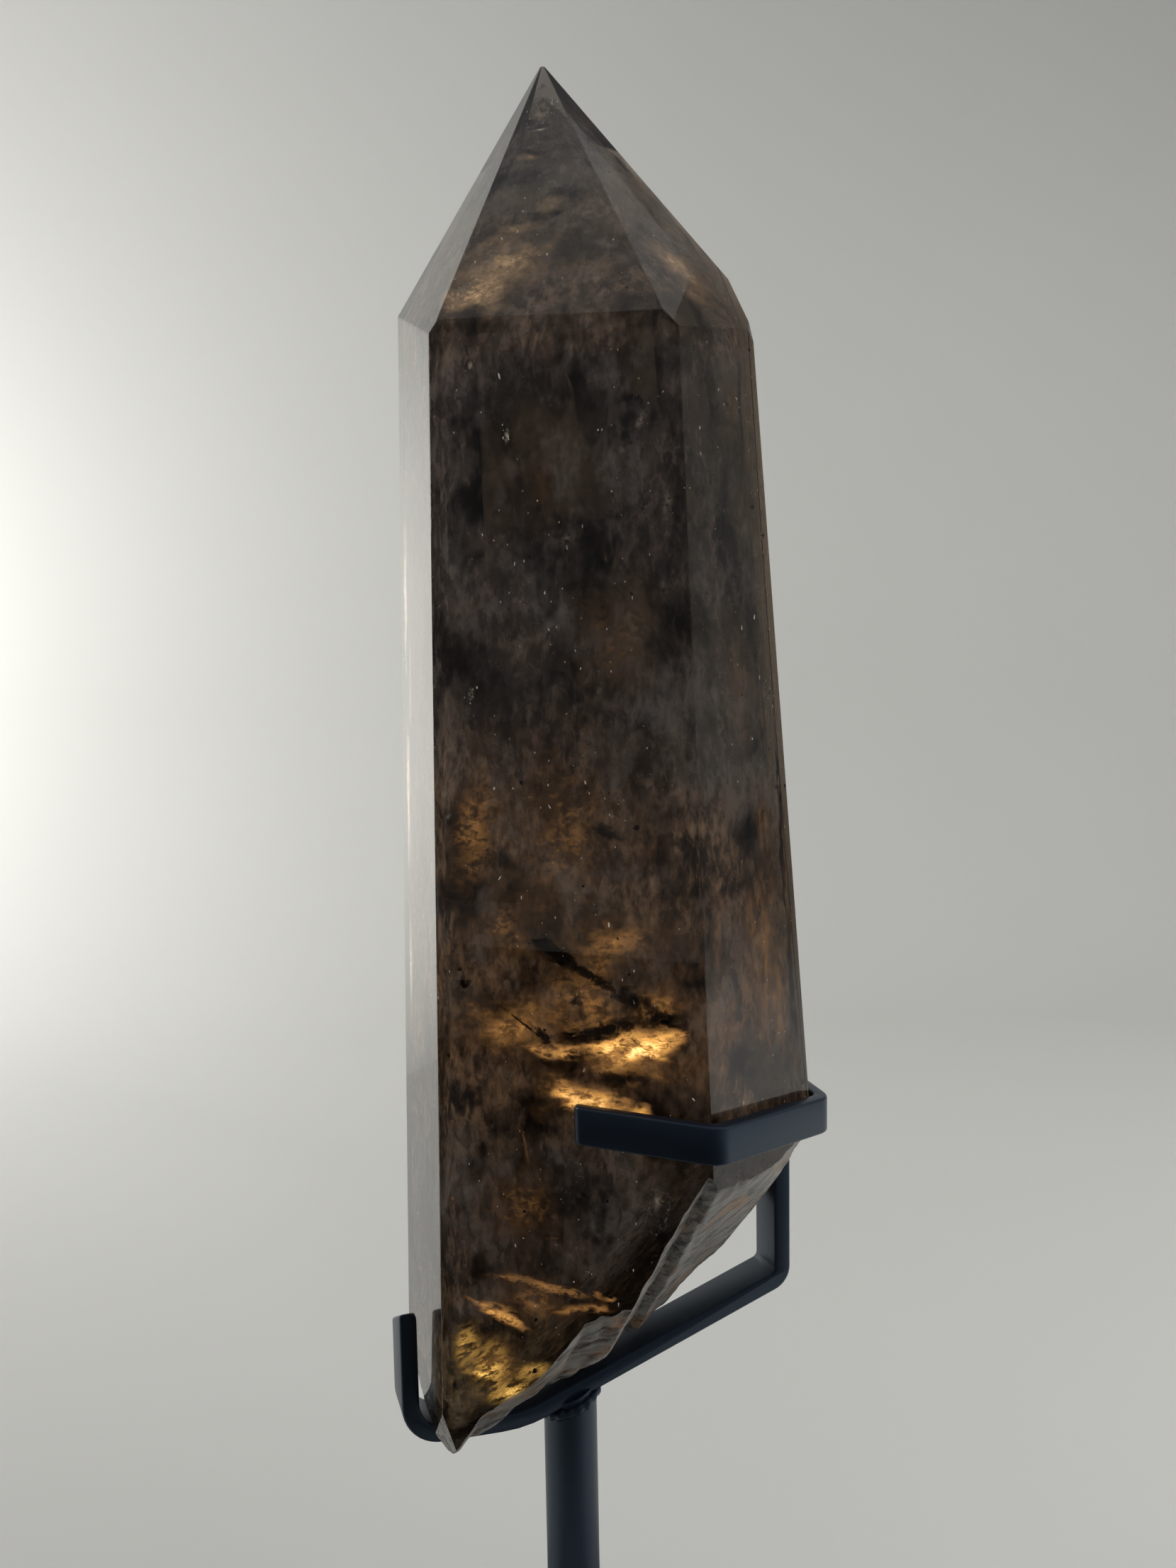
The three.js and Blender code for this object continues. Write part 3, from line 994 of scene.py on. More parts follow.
@dataclass
class Crystal:
    """The quartz tower: six tapering faces, six point faces, small chips and a broken base."""

    finish: SmokyQuartz = field(default_factory=SmokyQuartz)
    base: BrokenBase = field(default_factory=BrokenBase)
    middle: tuple[float, float, float] = (3, -4, 200)
    apex: tuple[float, float, float] = (-0.4, 9.6, 319.5)
    edge: float = 0.1
    sides: Sequence[Face] = (
        Face(-12.84, 1.63, 20.54),
        Face(44.07, 2.53, 30.76),
        Face(105.21, 4.04, 29.64),
        Face(171, 1.6, 30.2),
        Face(-132.77, 0.66, 30),
        Face(-71.65, 1.19, 25.49),
    )
    points: Sequence[tuple[float, float]] = (
        (-11.58, 58.5), (38.01, 52.86), (100, 58), (172, 54), (-122, 63.8), (-60.07, 61.06),
    )
    chips: Sequence[Chip] = (
        Chip((-17.7, -23.5, 92.8), -54.7, -13.1),
        Chip((31.4, -14.6, 267.8), 63.2, 16.6),
        Chip((-0.4, 9.6, 318.9), 20, 78),
    )
    scar_at: tuple[float, float, float] = (14.6, -30.1, 135.4)
    scar_radii: tuple[float, float, float] = (2.2, 0.95, 4.4)
    scar_lean: float = 12.0
    scar_ripple: float = 0.07
    scar_rings: float = 18.0
    scar_unevenness: float = 0.12
    block: float = 280.0
    chip_block: float = 40.0
    chip_top: float = 110.0
    crease: float = 48.0
    on_plane: float = 0.03
    aligned: float = 0.999
    on_break: float = 0.6

    def planes(self, inset: float = 0.0) -> list[tuple[Vector, Vector]]:
        """Every polished face as a point and an outward normal, moved inwards by an inset."""
        found = []
        for face in self.sides:
            normal = heading(face.turn, face.lean)
            found.append((Vector(self.middle) + normal * (face.reach - inset), normal))
        for turn, rise in self.points:
            normal = heading(turn, 90 - rise)
            found.append((Vector(self.apex) - normal * inset, normal))
        return found

    def hull(self, inset: float = 0.0) -> bmesh.types.BMesh:
        """Closed mesh between the polished faces that reaches down to well under the break."""
        bm = bmesh.new()
        bmesh.ops.create_cube(bm, size=self.block, matrix=Matrix.Translation(self.middle))
        for point, normal in self.planes(inset):
            cut_away(bm, point, normal)
        return bm

    def build(self) -> None:
        """Make the crystal."""
        bm = self.hull()
        for chip in self.chips[1:]:
            cut_away(bm, Vector(chip.at), heading(chip.turn, chip.lean))
        bevel(bm, bm.edges[:], self.edge, 1)
        bmesh.ops.recalc_face_normals(bm, faces=bm.faces)
        made = to_object(bm, "quartz")
        subtract(made, self.base.cutter())
        foot = self.chips[0]
        subtract(made, self.wedge(Vector(foot.at), heading(foot.turn, foot.lean)))
        subtract(made, self.scar())
        self.tell_rough(made.data)
        made.name = "quartz_tower"
        put_on(made, self.finish.material(), ["crystal"])

    def wedge(self, point: Vector, normal: Vector) -> bpy.types.Object:
        """Block beyond a plane, big enough for a chip."""
        bm = bmesh.new()
        size = self.chip_block
        bmesh.ops.create_cube(bm, size=size, matrix=Matrix.Translation((0, 0, size / 2)))
        place = Matrix.Translation(point) @ facing(normal).to_4x4()
        bmesh.ops.transform(bm, matrix=place, verts=bm.verts)
        return to_object(bm, "chip_cutter")

    def scar(self) -> bpy.types.Object:
        """Shell-shaped scar on the front face, with ripples round its start."""
        bm = bmesh.new()
        bmesh.ops.create_icosphere(bm, subdivisions=5, radius=1)
        for v in bm.verts:
            rings = self.scar_ripple * math.sin(v.co.z * self.scar_rings)
            v.co *= 1 + rings + self.scar_unevenness * noise.noise(v.co * 3)
            v.co = Vector(a * b for a, b in zip(v.co, self.scar_radii))
        turn = turned(self.sides[0].turn, "Z", 4) @ turned(self.scar_lean, "Y", 4)
        bmesh.ops.transform(bm, matrix=Matrix.Translation(self.scar_at) @ turn, verts=bm.verts)
        return to_object(bm, "scar_cutter")

    def tell_rough(self, mesh: bpy.types.Mesh) -> None:
        """Store which faces belong to the break, and smooth only those."""
        bm = bmesh.new()
        bm.from_mesh(mesh)
        rough = bm.faces.layers.float.new("rough")
        flats = self.planes()
        foot = self.chips[0]
        chip_way = heading(foot.turn, foot.lean)
        for face in bm.faces:
            centre = face.calc_center_median() / MM
            on_flat = any(
                abs((centre - point).dot(normal)) < self.on_plane
                and face.normal.dot(normal) > self.aligned
                for point, normal in flats
            )
            under = abs(self.base.clearance(centre)) < self.on_break
            off_chip = abs((centre - Vector(foot.at)).dot(chip_way))
            chipped = off_chip < self.on_plane and centre.z < self.chip_top
            face[rough] = float((under or chipped) and not on_flat)
            face.smooth = bool(face[rough])
        for edge in bm.edges:
            edge.smooth = edge.calc_face_angle(0.0) < math.radians(self.crease)
        bm.to_mesh(mesh)
        bm.free()

    def holds(self, at: Vector, margin: float) -> bool:
        """Whether a point is inside the crystal, at least a margin from its skin."""
        if any((at - point).dot(normal) > -margin for point, normal in self.planes()):
            return False
        return self.base.clearance(at) > 1.5 * margin


# Inside the crystal


@dataclass(frozen=True)
class Sheet:
    """One inner crack.

    Attributes:
        at: Its middle.
        radii: Half of its length, half of its width.
        turn: Heading of its normal.
        lean: Lean of its normal upwards.
        roll: Turn of its long side about the normal.
        tone: How strongly it shows, 0 to 1.
        curl: How far its ends bend forward.
        fine: Whether it is seen close up.
    """

    at: tuple[float, float, float]
    radii: tuple[float, float]
    turn: float = 0.0
    lean: float = 0.0
    roll: float = 0.0
    tone: float = 1.0
    curl: float = 0.3
    fine: bool = True


@dataclass(frozen=True)
class Group:
    """Cracks or hazes of one look, made as one piece.

    Attributes:
        name: The piece's name.
        look: Its finish.
        placed: Arguments of Inclusions.under for each one that the photograph shows.
        strewn: Arguments of Inclusions.strewn for more of them.
    """

    name: str
    look: Veil | Glow | Flaw
    placed: Sequence[tuple] = ()
    strewn: tuple = ()


@dataclass(frozen=True)
class Grains:
    """Small angular grains of one look, made as one piece.

    Attributes:
        name: The piece's name.
        look: Their finish.
        clusters: Middle, number of grains and spread of each cluster.
        sizes: Least and greatest radius.
        count: How many more are strewn.
        tall: How much longer a grain may be upwards.
    """

    name: str
    look: Speck
    clusters: Sequence[tuple[tuple[float, float, float], int, float]]
    sizes: tuple[float, float]
    count: int
    tall: float


# Colours of the painted glow inside, from unlit to brightest: the cracks, hazes and clouds emit them.
WARM = (
    (0.0, (0.0, 0.0, 0.0)), (0.16, (0.022, 0.011, 0.004)), (0.4, (0.15, 0.072, 0.022)),
    (0.68, (0.5, 0.26, 0.066)), (0.95, (0.95, 0.62, 0.24)),
)
GOLD = (
    (0.0, (0.0, 0.0, 0.0)), (0.16, (0.035, 0.02, 0.006)), (0.4, (0.23, 0.13, 0.03)),
    (0.7, (0.8, 0.52, 0.13)), (0.95, (1.0, 0.85, 0.42)),
)
PALE = (
    (0.0, (0.0, 0.0, 0.0)), (0.2, (0.035, 0.028, 0.022)), (0.5, (0.19, 0.155, 0.12)),
    (0.8, (0.5, 0.45, 0.38)), (1.0, (0.8, 0.77, 0.7)),
)
DULL = (
    (0.0, (0.0, 0.0, 0.0)), (0.16, (0.013, 0.009, 0.0055)), (0.4, (0.062, 0.041, 0.023)),
    (0.68, (0.18, 0.12, 0.064)), (0.95, (0.44, 0.32, 0.19)),
)

# Smoke that follows the crystal's outline, with its depth under the faces.
SHELLS = (
    (Veil("smoke_near", 8.0, (0.44, 0.64), 0.42), 1.5),
    (Veil("smoke_middle", 11.0, (0.36, 0.58), 0.78), 3.4),
)

# Groups in the order of their random draws. A placed row holds the face, x, z, depth, radii, roll,
# tone, curl and lean.
# The Glow groups shine by emission: painted glow on the cracks, hazes, feathers and clouds.
GROUPS = (
    Group(
        "smoke_deep",
        Veil("smoke_deep", 12.0, (0.32, 0.54), 0.9),
        strewn=(24, (105, 300), (8.0, 15.0), 0.0, 3.0),
    ),
    Group(
        "amber_glow_streaks",
        Glow("amber_glow_streak", WARM, 1.5, 0.2, 0.2, 2.6, 3.0, 0.5, 0.5, 0.2),
        (
            (1, 31.6, 172, 2.1, (34, 9), 90, 0.5), (1, 34.4, 162, 1.9, (22, 4), 90, 0.5),
            (1, 31.6, 192.1, 2, (14, 4.4), 90, 0.42), (1, 29.3, 176.8, 1.9, (10, 3), 90, 0.44),
            (1, 28, 216, 2.2, (26, 8), 90, 0.3), (2, 35, 176, 2, (30, 8), 90, 0.5),
            (2, 34, 150, 2.2, (16, 9), 88, 0.6), (3, 12, 168, 2.2, (26, 9), 90, 0.5),
            (3, -6, 140, 2.2, (22, 8), 90, 0.55), (4, -22, 150, 2.1, (28, 7), 90, 0.5),
            (5, -26.6, 152, 2.4, (24, 5), 90, 0.3),
        ),
    ),
    Group(
        "amber_glow_hazes",
        Glow("amber_glow_haze", WARM, 2.8, 0.0, 0.0, 1.1, 0.7, 0.6, 0.5, 0.3),
        (
            (0, 4.5, 165, 2.9, (23, 15), 8, 0.46), (0, 1, 190, 2.9, (32, 19), 84, 0.28),
            (0, -8, 177, 2.6, (15, 11), 30, 0.3), (0, 9.5, 175, 2.3, (14, 8), 14, 0.5),
            (0, -7, 161, 2.2, (16, 8.6), -4, 0.56), (0, 15, 166, 2.1, (8.6, 7.6), 0, 0.46),
            (0, 10, 157, 2.2, (14.5, 6.4), 2, 0.66), (0, 2.5, 151, 2.2, (14, 6.4), -4, 0.58),
            (0, -12, 192, 2.4, (22, 9), 86, 0.4), (0, -6, 133, 2.9, (16, 13), 0, 0.27),
            (0, -5, 118, 2.6, (13, 8), -10, 0.38, 0.3, 8), (0, -10, 107, 2.4, (9, 7.4), -16, 0.5),
            (0, 10, 220, 2.9, (22, 13), 84, 0.2), (0, 0, 246, 2.9, (22, 14), 84, 0.14),
        ),
        (6, (112, 180), (4.0, 8.0), 0.3),
    ),
    Group(
        "amber_glow_bands",
        Glow("amber_glow_band", WARM, 2.3, 0.0, 0.85, 0.8, 0.5, 0.7),
        (
            (0, 11.8, 159.4, 1.8, (11, 4.2), 4, 1), (0, 15, 160.4, 1.7, (6.6, 3), 10, 0.9),
            (0, 0.5, 158.2, 2.1, (10, 2.6), 2, 0.6), (0, 4.4, 150.8, 1.9, (9, 3.8), -5, 0.9),
            (0, 11.4, 149.2, 2, (5, 2.4), 6, 0.74), (0, -4.5, 120.8, 2.1, (11, 2), -8, 0.5, 0.9),
            (0, -10.2, 115.6, 2.1, (8.2, 2.2), -20, 0.62, 0.9),
            (0, 3, 117.4, 2.2, (8, 1.6), 10, 0.42, 0.7), (0, 6.2, 113.4, 1.8, (4, 1.6), 28, 0.7),
        ),
        (4, (105, 130), (2.0, 4.0), 0.6),
    ),
    Group(
        "golden_glow_cracks",
        Glow("golden_glow_ridges", GOLD, 2.5, 0.6, 0.0, 0.8, 0.3, 0.7, fill=0.05, slant=32.0),
        (
            (0, -11.8, 107.2, 1.8, (9, 6.4), -24, 1, 0.2, 4),
            (0, -8.8, 103.2, 1.7, (9.6, 4.2), 14, 1, 0.2, 2),
            (0, -15.6, 109.6, 1.7, (7.4, 3.6), 78, 1, 0.2),
            (0, -5, 106.4, 1.8, (6, 4), 26, 0.9, 0.1), (0, -13, 105.4, 1.6, (7, 1.8), -2, 1, 0.1),
            (0, 6.6, 114.4, 1.7, (4, 2), 30, 0.7),
        ),
        (8, (100, 125), (1.6, 3.6), 0.5),
    ),
    Group(
        "painted_edge_gleams",
        # Painted highlight: pale glowing lines along the left facet's edge.
        Glow("painted_edge_gleams", PALE, 2.2, 0.3, 0.3, 1.8, 3.0, 0.5, 0.9, 0.3),
        (
            (5, -24.8, 230, 1, (28, 3), 89, 0.9, 0), (5, -25.2, 196, 1, (26, 3.2), 89, 1, 0),
            (5, -25.6, 166, 1, (20, 3), 89, 0.8, 0), (5, -24, 214, 0.9, (18, 2.4), 88, 0.6, 0),
        ),
    ),
    Group(
        "pale_glow_feathers",
        Glow("pale_glow_feathers", PALE, 1.0, 0.6, 0.0, 0.6, 1.0, 0.4),
        (
            (6, -0.2, 309, 0.8, (4.4, 4.6), 0, 1), (6, -0.4, 308, 1, (3.6, 3.4), 40, 1),
            (6, -0.6, 304.6, 0.8, (4.6, 0.9), 2, 1), (6, -12.4, 274, 1.2, (5, 4), 30, 0.6),
            (6, -8, 281, 1.4, (5, 3.4), 60, 0.45), (6, -2, 301, 1.4, (5, 2), -16, 0.5),
            (0, -11.2, 262.2, 1.4, (1.9, 0.8), 80, 1), (0, -11.6, 258.8, 1.4, (1.2, 0.6), 60, 0.8),
            (0, -5.9, 251.5, 1.4, (2.4, 0.9), 86, 1), (0, -12.3, 212.9, 1.4, (2.2, 1), 88, 1),
            (0, -3.1, 207.6, 1.4, (1.8, 0.35), 84, 0.9),
            (0, -16.4, 194.2, 1.4, (1.6, 0.9), 60, 0.7), (0, 14, 252.5, 1.8, (5.4, 2.2), 62, 0.62),
            (0, 11.2, 248.4, 1.8, (4.4, 1.8), 100, 0.5), (0, 17.6, 240, 1.6, (7.6, 2.2), 86, 0.6),
            (0, 17, 228, 1.8, (6, 1.8), 92, 0.45), (0, 3.2, 236, 2, (4.4, 3), 20, 0.55),
            (0, 7.2, 213, 1.8, (6, 2), 70, 0.42), (0, -14, 236, 1.8, (5, 2.4), 80, 0.4),
            (0, -9, 200, 1.8, (6, 2.2), 96, 0.4), (1, 29, 222, 1.6, (7, 2.4), 90, 0.4),
            (0, 14.6, 136, 1, (4.4, 1.9), 78, 0.7),
        ),
        (60, (112, 300), (1.2, 4.0), 0.15),
    ),
    Group(
        "tan_glow_clouds",
        Glow("tan_glow_cloud", DULL, 2.8, 0.1, 0.0, 0.7, 0.8, 0.6, 0.6, 0.35),
        (
            (6, -6, 278, 2.2, (18, 12), 24, 0.8, 0.05), (6, -11, 273.6, 1.8, (12, 7.6), 8, 1, 0.05),
            (6, 1, 289, 2.2, (8, 3), 34, 0.6, 0.05), (6, -4.4, 284.6, 2.1, (8, 3.6), 10, 0.6, 0.05),
            (6, 8, 276, 2.7, (11, 8), 0, 0.36, 0.05), (6, -2.4, 299, 2, (5.4, 2), -14, 0.6, 0.05),
            (7, 19.6, 277.6, 2, (14, 7), -46, 0.85, 0.05),
            (7, 22, 272, 2.2, (8, 5), -20, 0.6, 0.05), (8, 14, 294, 2.2, (9, 6), 60, 0.6, 0.05),
            (9, -1, 303, 2.2, (8, 5), 10, 0.6, 0.05), (0, 4, 246, 2.9, (18, 13), 80, 0.2),
            (0, 12, 222, 2.6, (15, 9), 84, 0.3), (1, 29, 240, 2.4, (22, 7), 90, 0.24),
        ),
    ),
    Group(
        "dark_flaws",
        Flaw(),
        (
            (0, -5.2, 162.1, 1.4, (6.8, 0.3), -36), (0, -2.2, 160.2, 1.4, (3.2, 1.2), -50),
            (0, 8.5, 162.2, 1.5, (10.5, 1.3), 12), (0, 15, 163.8, 1.5, (5, 2), 6),
            (0, 5.6, 169.8, 1.5, (10, 1.3), -31, 0.9), (0, -0.8, 173.6, 1.5, (3.2, 1.5), -40),
            (0, 12.4, 166, 1.5, (5.6, 2.2), -10, 0.9), (0, 3, 166, 1.5, (2, 1.2), 10, 0.8),
            (0, 8, 154.4, 1.6, (9, 1.5), 2, 0.85), (0, 12, 252.6, 1.8, (4.2, 2.8), 60, 0.8),
            (0, 7.9, 192, 1.6, (4, 1.8), -20, 0.8), (6, -4.2, 295, 1.8, (6.4, 3.4), 10, 0.7),
            (6, 3.6, 291, 2, (4.4, 2.6), 0, 0.6), (0, 2, 135, 2, (9, 8), 40, 0.6),
        ),
        (26, (112, 300), (1.5, 4.5), 0.3),
    ),
)

GRAINS = (
    Grains(
        "painted_glint_flecks",
        # Painted glints: the pale flecks shine by emission.
        Speck("painted_glint_fleck", (0.95, 0.87, 0.74), 0.5, 0.25, 0.3),
        (
            ((-11.2, -18.5, 262.2), 5, 1.5), ((-5.9, -20, 251.5), 6, 1.1),
            ((-12.3, -19.7, 212.9), 6, 1.4), ((15.6, -23.4, 256), 6, 2), ((19, -26, 240.6), 8, 3),
            ((3, -21.4, 238), 4, 2.2), ((-0.4, 4.6, 309), 80, 2.6), ((-12.6, -14, 274), 40, 3.4),
            ((-5, -8, 281), 16, 4),
        ),
        (0.04, 0.15),
        1100,
        3.4,
    ),
    Grains(
        "dark_grains",
        Speck("dark_grain", (0.02, 0.016, 0.014), 0.0, 0.35),
        (
            ((-14.7, -17.7, 172.4), 16, 1.7), ((-8.8, -18.5, 194.2), 9, 1.4),
            ((-11.6, -18.3, 177), 7, 0.8), ((-13, -17.9, 180.3), 8, 1),
            ((8.1, -19.5, 220.2), 14, 2.2), ((-0.2, -14.4, 260.9), 6, 1.4),
        ),
        (0.12, 0.6),
        150,
        1.0,
    ),
)


@dataclass
class Inclusions:
    """What shows inside the crystal: smoke, cracks, flecks and grains.

    Attributes:
        crystal: The stone.
        rng: Source of every random draw.
        voxel: Cell size of the smoke shells.
        plunge: Plane under the shells' front, as its normal and its height on the post's axis before
            a shell lifts it by its depth; keel is the plane over the sling's bar.
        swell: Size of the lumps of a shell.
        ragged: How ragged a sheet's rim is.
        wave: Height of a sheet's waves as a share of its half width, at most wave_limit.
        thickness: Half thickness of a sheet as a share of its half width, at most half_thickness.
        lens_margin: Least depth of a sheet under the skin.
        break_top: Height over which nothing can reach the break.
        nudge: How far a vertex is moved before it counts as an edge.
        grain_depths: Least and greatest depth of the strewn grains.
    """

    crystal: Crystal
    rng: random.Random = field(default_factory=lambda: random.Random(7))
    voxel: float = 1.4
    plunge: tuple[Sequence[float], float] = ((0.67, -1.2, -1.0), 90.5)
    keel: tuple[Sequence[float], float] = ((0.38, 0.0, -1.0), 99.5)
    swell: float = 9.0
    ragged: float = 0.34
    wave: float = 0.16
    wave_limit: float = 0.9
    thickness: float = 0.05
    half_thickness: float = 0.2
    lens_margin: float = 0.35
    break_top: float = 132.0
    nudge: float = 0.02
    grain_depths: tuple[float, float] = (0.5, 2.6)

    def build(self) -> None:
        """Make every group of inclusions."""
        for look, depth in SHELLS:
            self.show(self.shell(depth, look.name), look)
        for group in GROUPS:
            sheets = [self.under(*row) for row in group.placed]
            if group.strewn:
                sheets += self.strewn(*group.strewn)
            self.show(self.sheets(group.name, sheets), group.look)
        for group in GRAINS:
            self.show(self.grains(group), group.look)

    @staticmethod
    def show(made: bpy.types.Object, look: Veil | Glow | Flaw | Speck) -> None:
        """Dress a group of inclusions.

        Their painted glow isn't sampled as light on other surfaces, because the quartz round them
        shadows it.

        Args:
            made: The group's object.
            look: Its finish.
        """
        finish = look.material()
        finish.cycles.emission_sampling = "NONE"
        put_on(made, finish)

    def shell(self, depth: float, name: str) -> bpy.types.Object:
        """Closed, softly uneven surface inside the crystal.

        Args:
            depth: How far under the crystal's skin it lies.
            name: The object's name.

        Returns:
            The new object.
        """
        bm = self.crystal.hull(depth)
        turn = turned(self.crystal.base.turn)
        lift = 1.5 * depth + 1.5
        for (normal, height), share in ((self.plunge, 1.0), (self.keel, 0.7)):
            point = Vector((0, 0, height)) + Vector((0, 0, lift)) * share
            cut_away(bm, point, (turn @ Vector(normal)).normalized())
        bmesh.ops.recalc_face_normals(bm, faces=bm.faces)
        made = to_object(bm, name)
        remesh = made.modifiers.new("remesh", "REMESH")
        remesh.mode = "VOXEL"
        remesh.voxel_size = self.voxel * MM
        made.data = baked(made)
        made.modifiers.clear()
        bm = bmesh.new()
        bm.from_mesh(made.data)
        scaled(bm, 1 / MM)
        rim = bm.verts.layers.float.new("rim")
        for _ in range(round(2 + depth)):
            bmesh.ops.smooth_vert(
                bm, verts=bm.verts, factor=0.5, use_axis_x=True, use_axis_y=True, use_axis_z=True
            )
        bm.normal_update()
        for v in bm.verts:
            place = v.co / self.swell + Vector((depth, 0, 0))
            v.co += v.normal * (noise.fractal(place, 0.8, 2.0, 3) * 0.2 * depth)
        self.draw_in(bm.verts, rim, 0.4 * depth)
        mark_sharp(bm, 180)
        scaled(bm, MM)
        bm.to_mesh(made.data)
        bm.free()
        return made

    def sheets(self, name: str, group: Iterable[Sheet]) -> bpy.types.Object:
        """Thin closed lenses with ragged rims, one for each crack.

        Args:
            name: The object's name.
            group: The cracks.

        Returns:
            The new object.
        """
        bm = bmesh.new()
        rim = bm.verts.layers.float.new("rim")
        tone = bm.verts.layers.float.new("tone")
        across = bm.verts.layers.float.new("across")
        for number, sheet in enumerate(group):
            detail = 5 if sheet.fine else 3
            verts = bmesh.ops.create_icosphere(bm, subdivisions=detail, radius=1)["verts"]
            long, wide = sheet.radii
            for v in verts:
                around = Vector((v.co.x, v.co.y, 0))
                v[rim] = min(around.length, 1.0)
                v[tone] = sheet.tone
                v[across] = v.co.y
                spot = around.normalized() * 1.7 + Vector((0, 0, number * 3.1))
                ragged = 1 + self.ragged * noise.noise(spot)
                x, y = v.co.x * long * ragged, v.co.y * wide * ragged
                wave = noise.fractal(Vector((x / 5, y / 5, number * 1.7)), 0.7, 2.0, 3)
                wave *= min(self.wave * wide, self.wave_limit)
                bend = sheet.curl * (x / long) ** 2 * wide * 0.4
                thick = min(self.thickness, self.half_thickness / wide)
                v.co = Vector((x, y, v.co.z * thick * wide + wave + bend))
            place = Matrix.Translation(sheet.at) @ self.lie(sheet).to_4x4()
            bmesh.ops.transform(bm, matrix=place, verts=verts)
        self.draw_in(bm.verts, rim, self.lens_margin)
        mark_sharp(bm, 180)
        return to_object(bm, name)

    @staticmethod
    def lie(sheet: Sheet) -> Matrix:
        """Rotation of a sheet: its normal and its roll."""
        return facing(heading(sheet.turn, sheet.lean)) @ turned(sheet.roll)

    def draw_in(
        self, verts: Iterable[bmesh.types.BMVert], rim: bmesh.types.BMLayerItem, margin: float
    ) -> None:
        """Move what would stick out of the crystal back under its skin, and let it fade out there.

        Args:
            verts: The vertices, in millimetres.
            rim: The layer that says where the surface fades out.
            margin: How far under the skin they have to be.
        """
        skin = self.crystal.planes(margin)
        for v in verts:
            start = v.co.copy()
            for point, normal in skin:
                beyond = (v.co - point).dot(normal)
                if beyond > 0:
                    v.co -= normal * beyond
            if v.co.z < self.break_top:
                v.co.z += max(0.0, margin - self.crystal.base.clearance(v.co))
            if (v.co - start).length > self.nudge:
                v[rim] = 1.0

    def strewn(
        self,
        count: int,
        heights: tuple[float, float],
        sizes: tuple[float, float],
        level: float,
        margin: float = 1.0,
    ) -> list[Sheet]:
        """Cracks strewn at random inside the crystal.

        Args:
            count: How many.
            heights: Lowest and highest middle.
            sizes: Least and greatest half length.
            level: Share of them that lie nearly level; the others stand upright.
            margin: Room from the skin that the ends of each crack keep.

        Returns:
            The cracks.
        """
        found: list[Sheet] = []
        low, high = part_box("crystal")
        pick = self.rng.uniform
        while len(found) < count:
            x, y = pick(low.x, high.x) / MM, pick(low.y, high.y) / MM
            at = Vector((x, y, pick(*heights)))
            long = pick(*sizes)
            wide = long * pick(0.3, 0.7)
            if self.rng.random() < level:
                lean, roll = pick(50, 85), pick(0, 180)
            else:
                lean, roll = pick(-12, 12), pick(70, 110)
            turn, tone, curl = pick(-180, 180), pick(0.2, 1.0), pick(-0.6, 0.6)
            sheet = Sheet(tuple(at), (long, wide), turn, lean, roll, tone, curl, False)
            if all(self.crystal.holds(p, margin) for p in self.corners(sheet)):
                found.append(sheet)
        return found

    @staticmethod
    def corners(sheet: Sheet) -> list[Vector]:
        """Ends of a sheet's two axes, a little beyond the sheet itself."""
        face = Inclusions.lie(sheet)
        long, wide = (r * 1.2 for r in sheet.radii)
        at = Vector(sheet.at)
        ends = [(long, 0, 0), (-long, 0, 0), (0, wide, 0), (0, -wide, 0), (0, 0, 1), (0, 0, -1)]
        return [at + face @ Vector(end) for end in ends]

    def under(
        self,
        face: int,
        x: float,
        z: float,
        depth: float,
        radii: tuple[float, float],
        roll: float = 0.0,
        tone: float = 1.0,
        curl: float = 0.2,
        lean: float = 0.0,
    ) -> Sheet:
        """Sheet a little under one polished face and along it.

        Args:
            face: Number of the face: 0 to 5 the sides, 6 to 11 the point, from the front on.
            x: Place from left to right.
            z: Height.
            depth: How far under the face.
            radii: Half of its length, half of its width.
            roll: Turn of its long side from the level.
            tone: How strongly it shows.
            curl: How far its ends bend forward.
            lean: Lean against the face.

        Returns:
            The sheet.
        """
        point, normal = self.crystal.planes(depth)[face]
        y = point.y - (normal.x * (x - point.x) + normal.z * (z - point.z)) / normal.y
        turn = math.degrees(math.atan2(normal.x, -normal.y))
        back = math.degrees(math.asin(normal.z)) + lean
        return Sheet((x, y, z), radii, turn, back, roll, tone, curl)

    def near_skin(self, count: int, depths: tuple[float, float]) -> list[Vector]:
        """Places strewn a little under the crystal's faces.

        Args:
            count: How many.
            depths: Least and greatest depth under a face.

        Returns:
            The places.
        """
        found: list[Vector] = []
        low, high = (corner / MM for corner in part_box("crystal"))
        while len(found) < count:
            at = Vector([self.rng.uniform(a, b) for a, b in zip(low, high)])
            planes = self.crystal.planes(self.rng.uniform(*depths))
            point, normal = min(planes, key=lambda plane: abs((at - plane[0]).dot(plane[1])))
            at -= normal * (at - point).dot(normal)
            if self.crystal.holds(at, 0.8 * depths[0]):
                found.append(at)
        return found

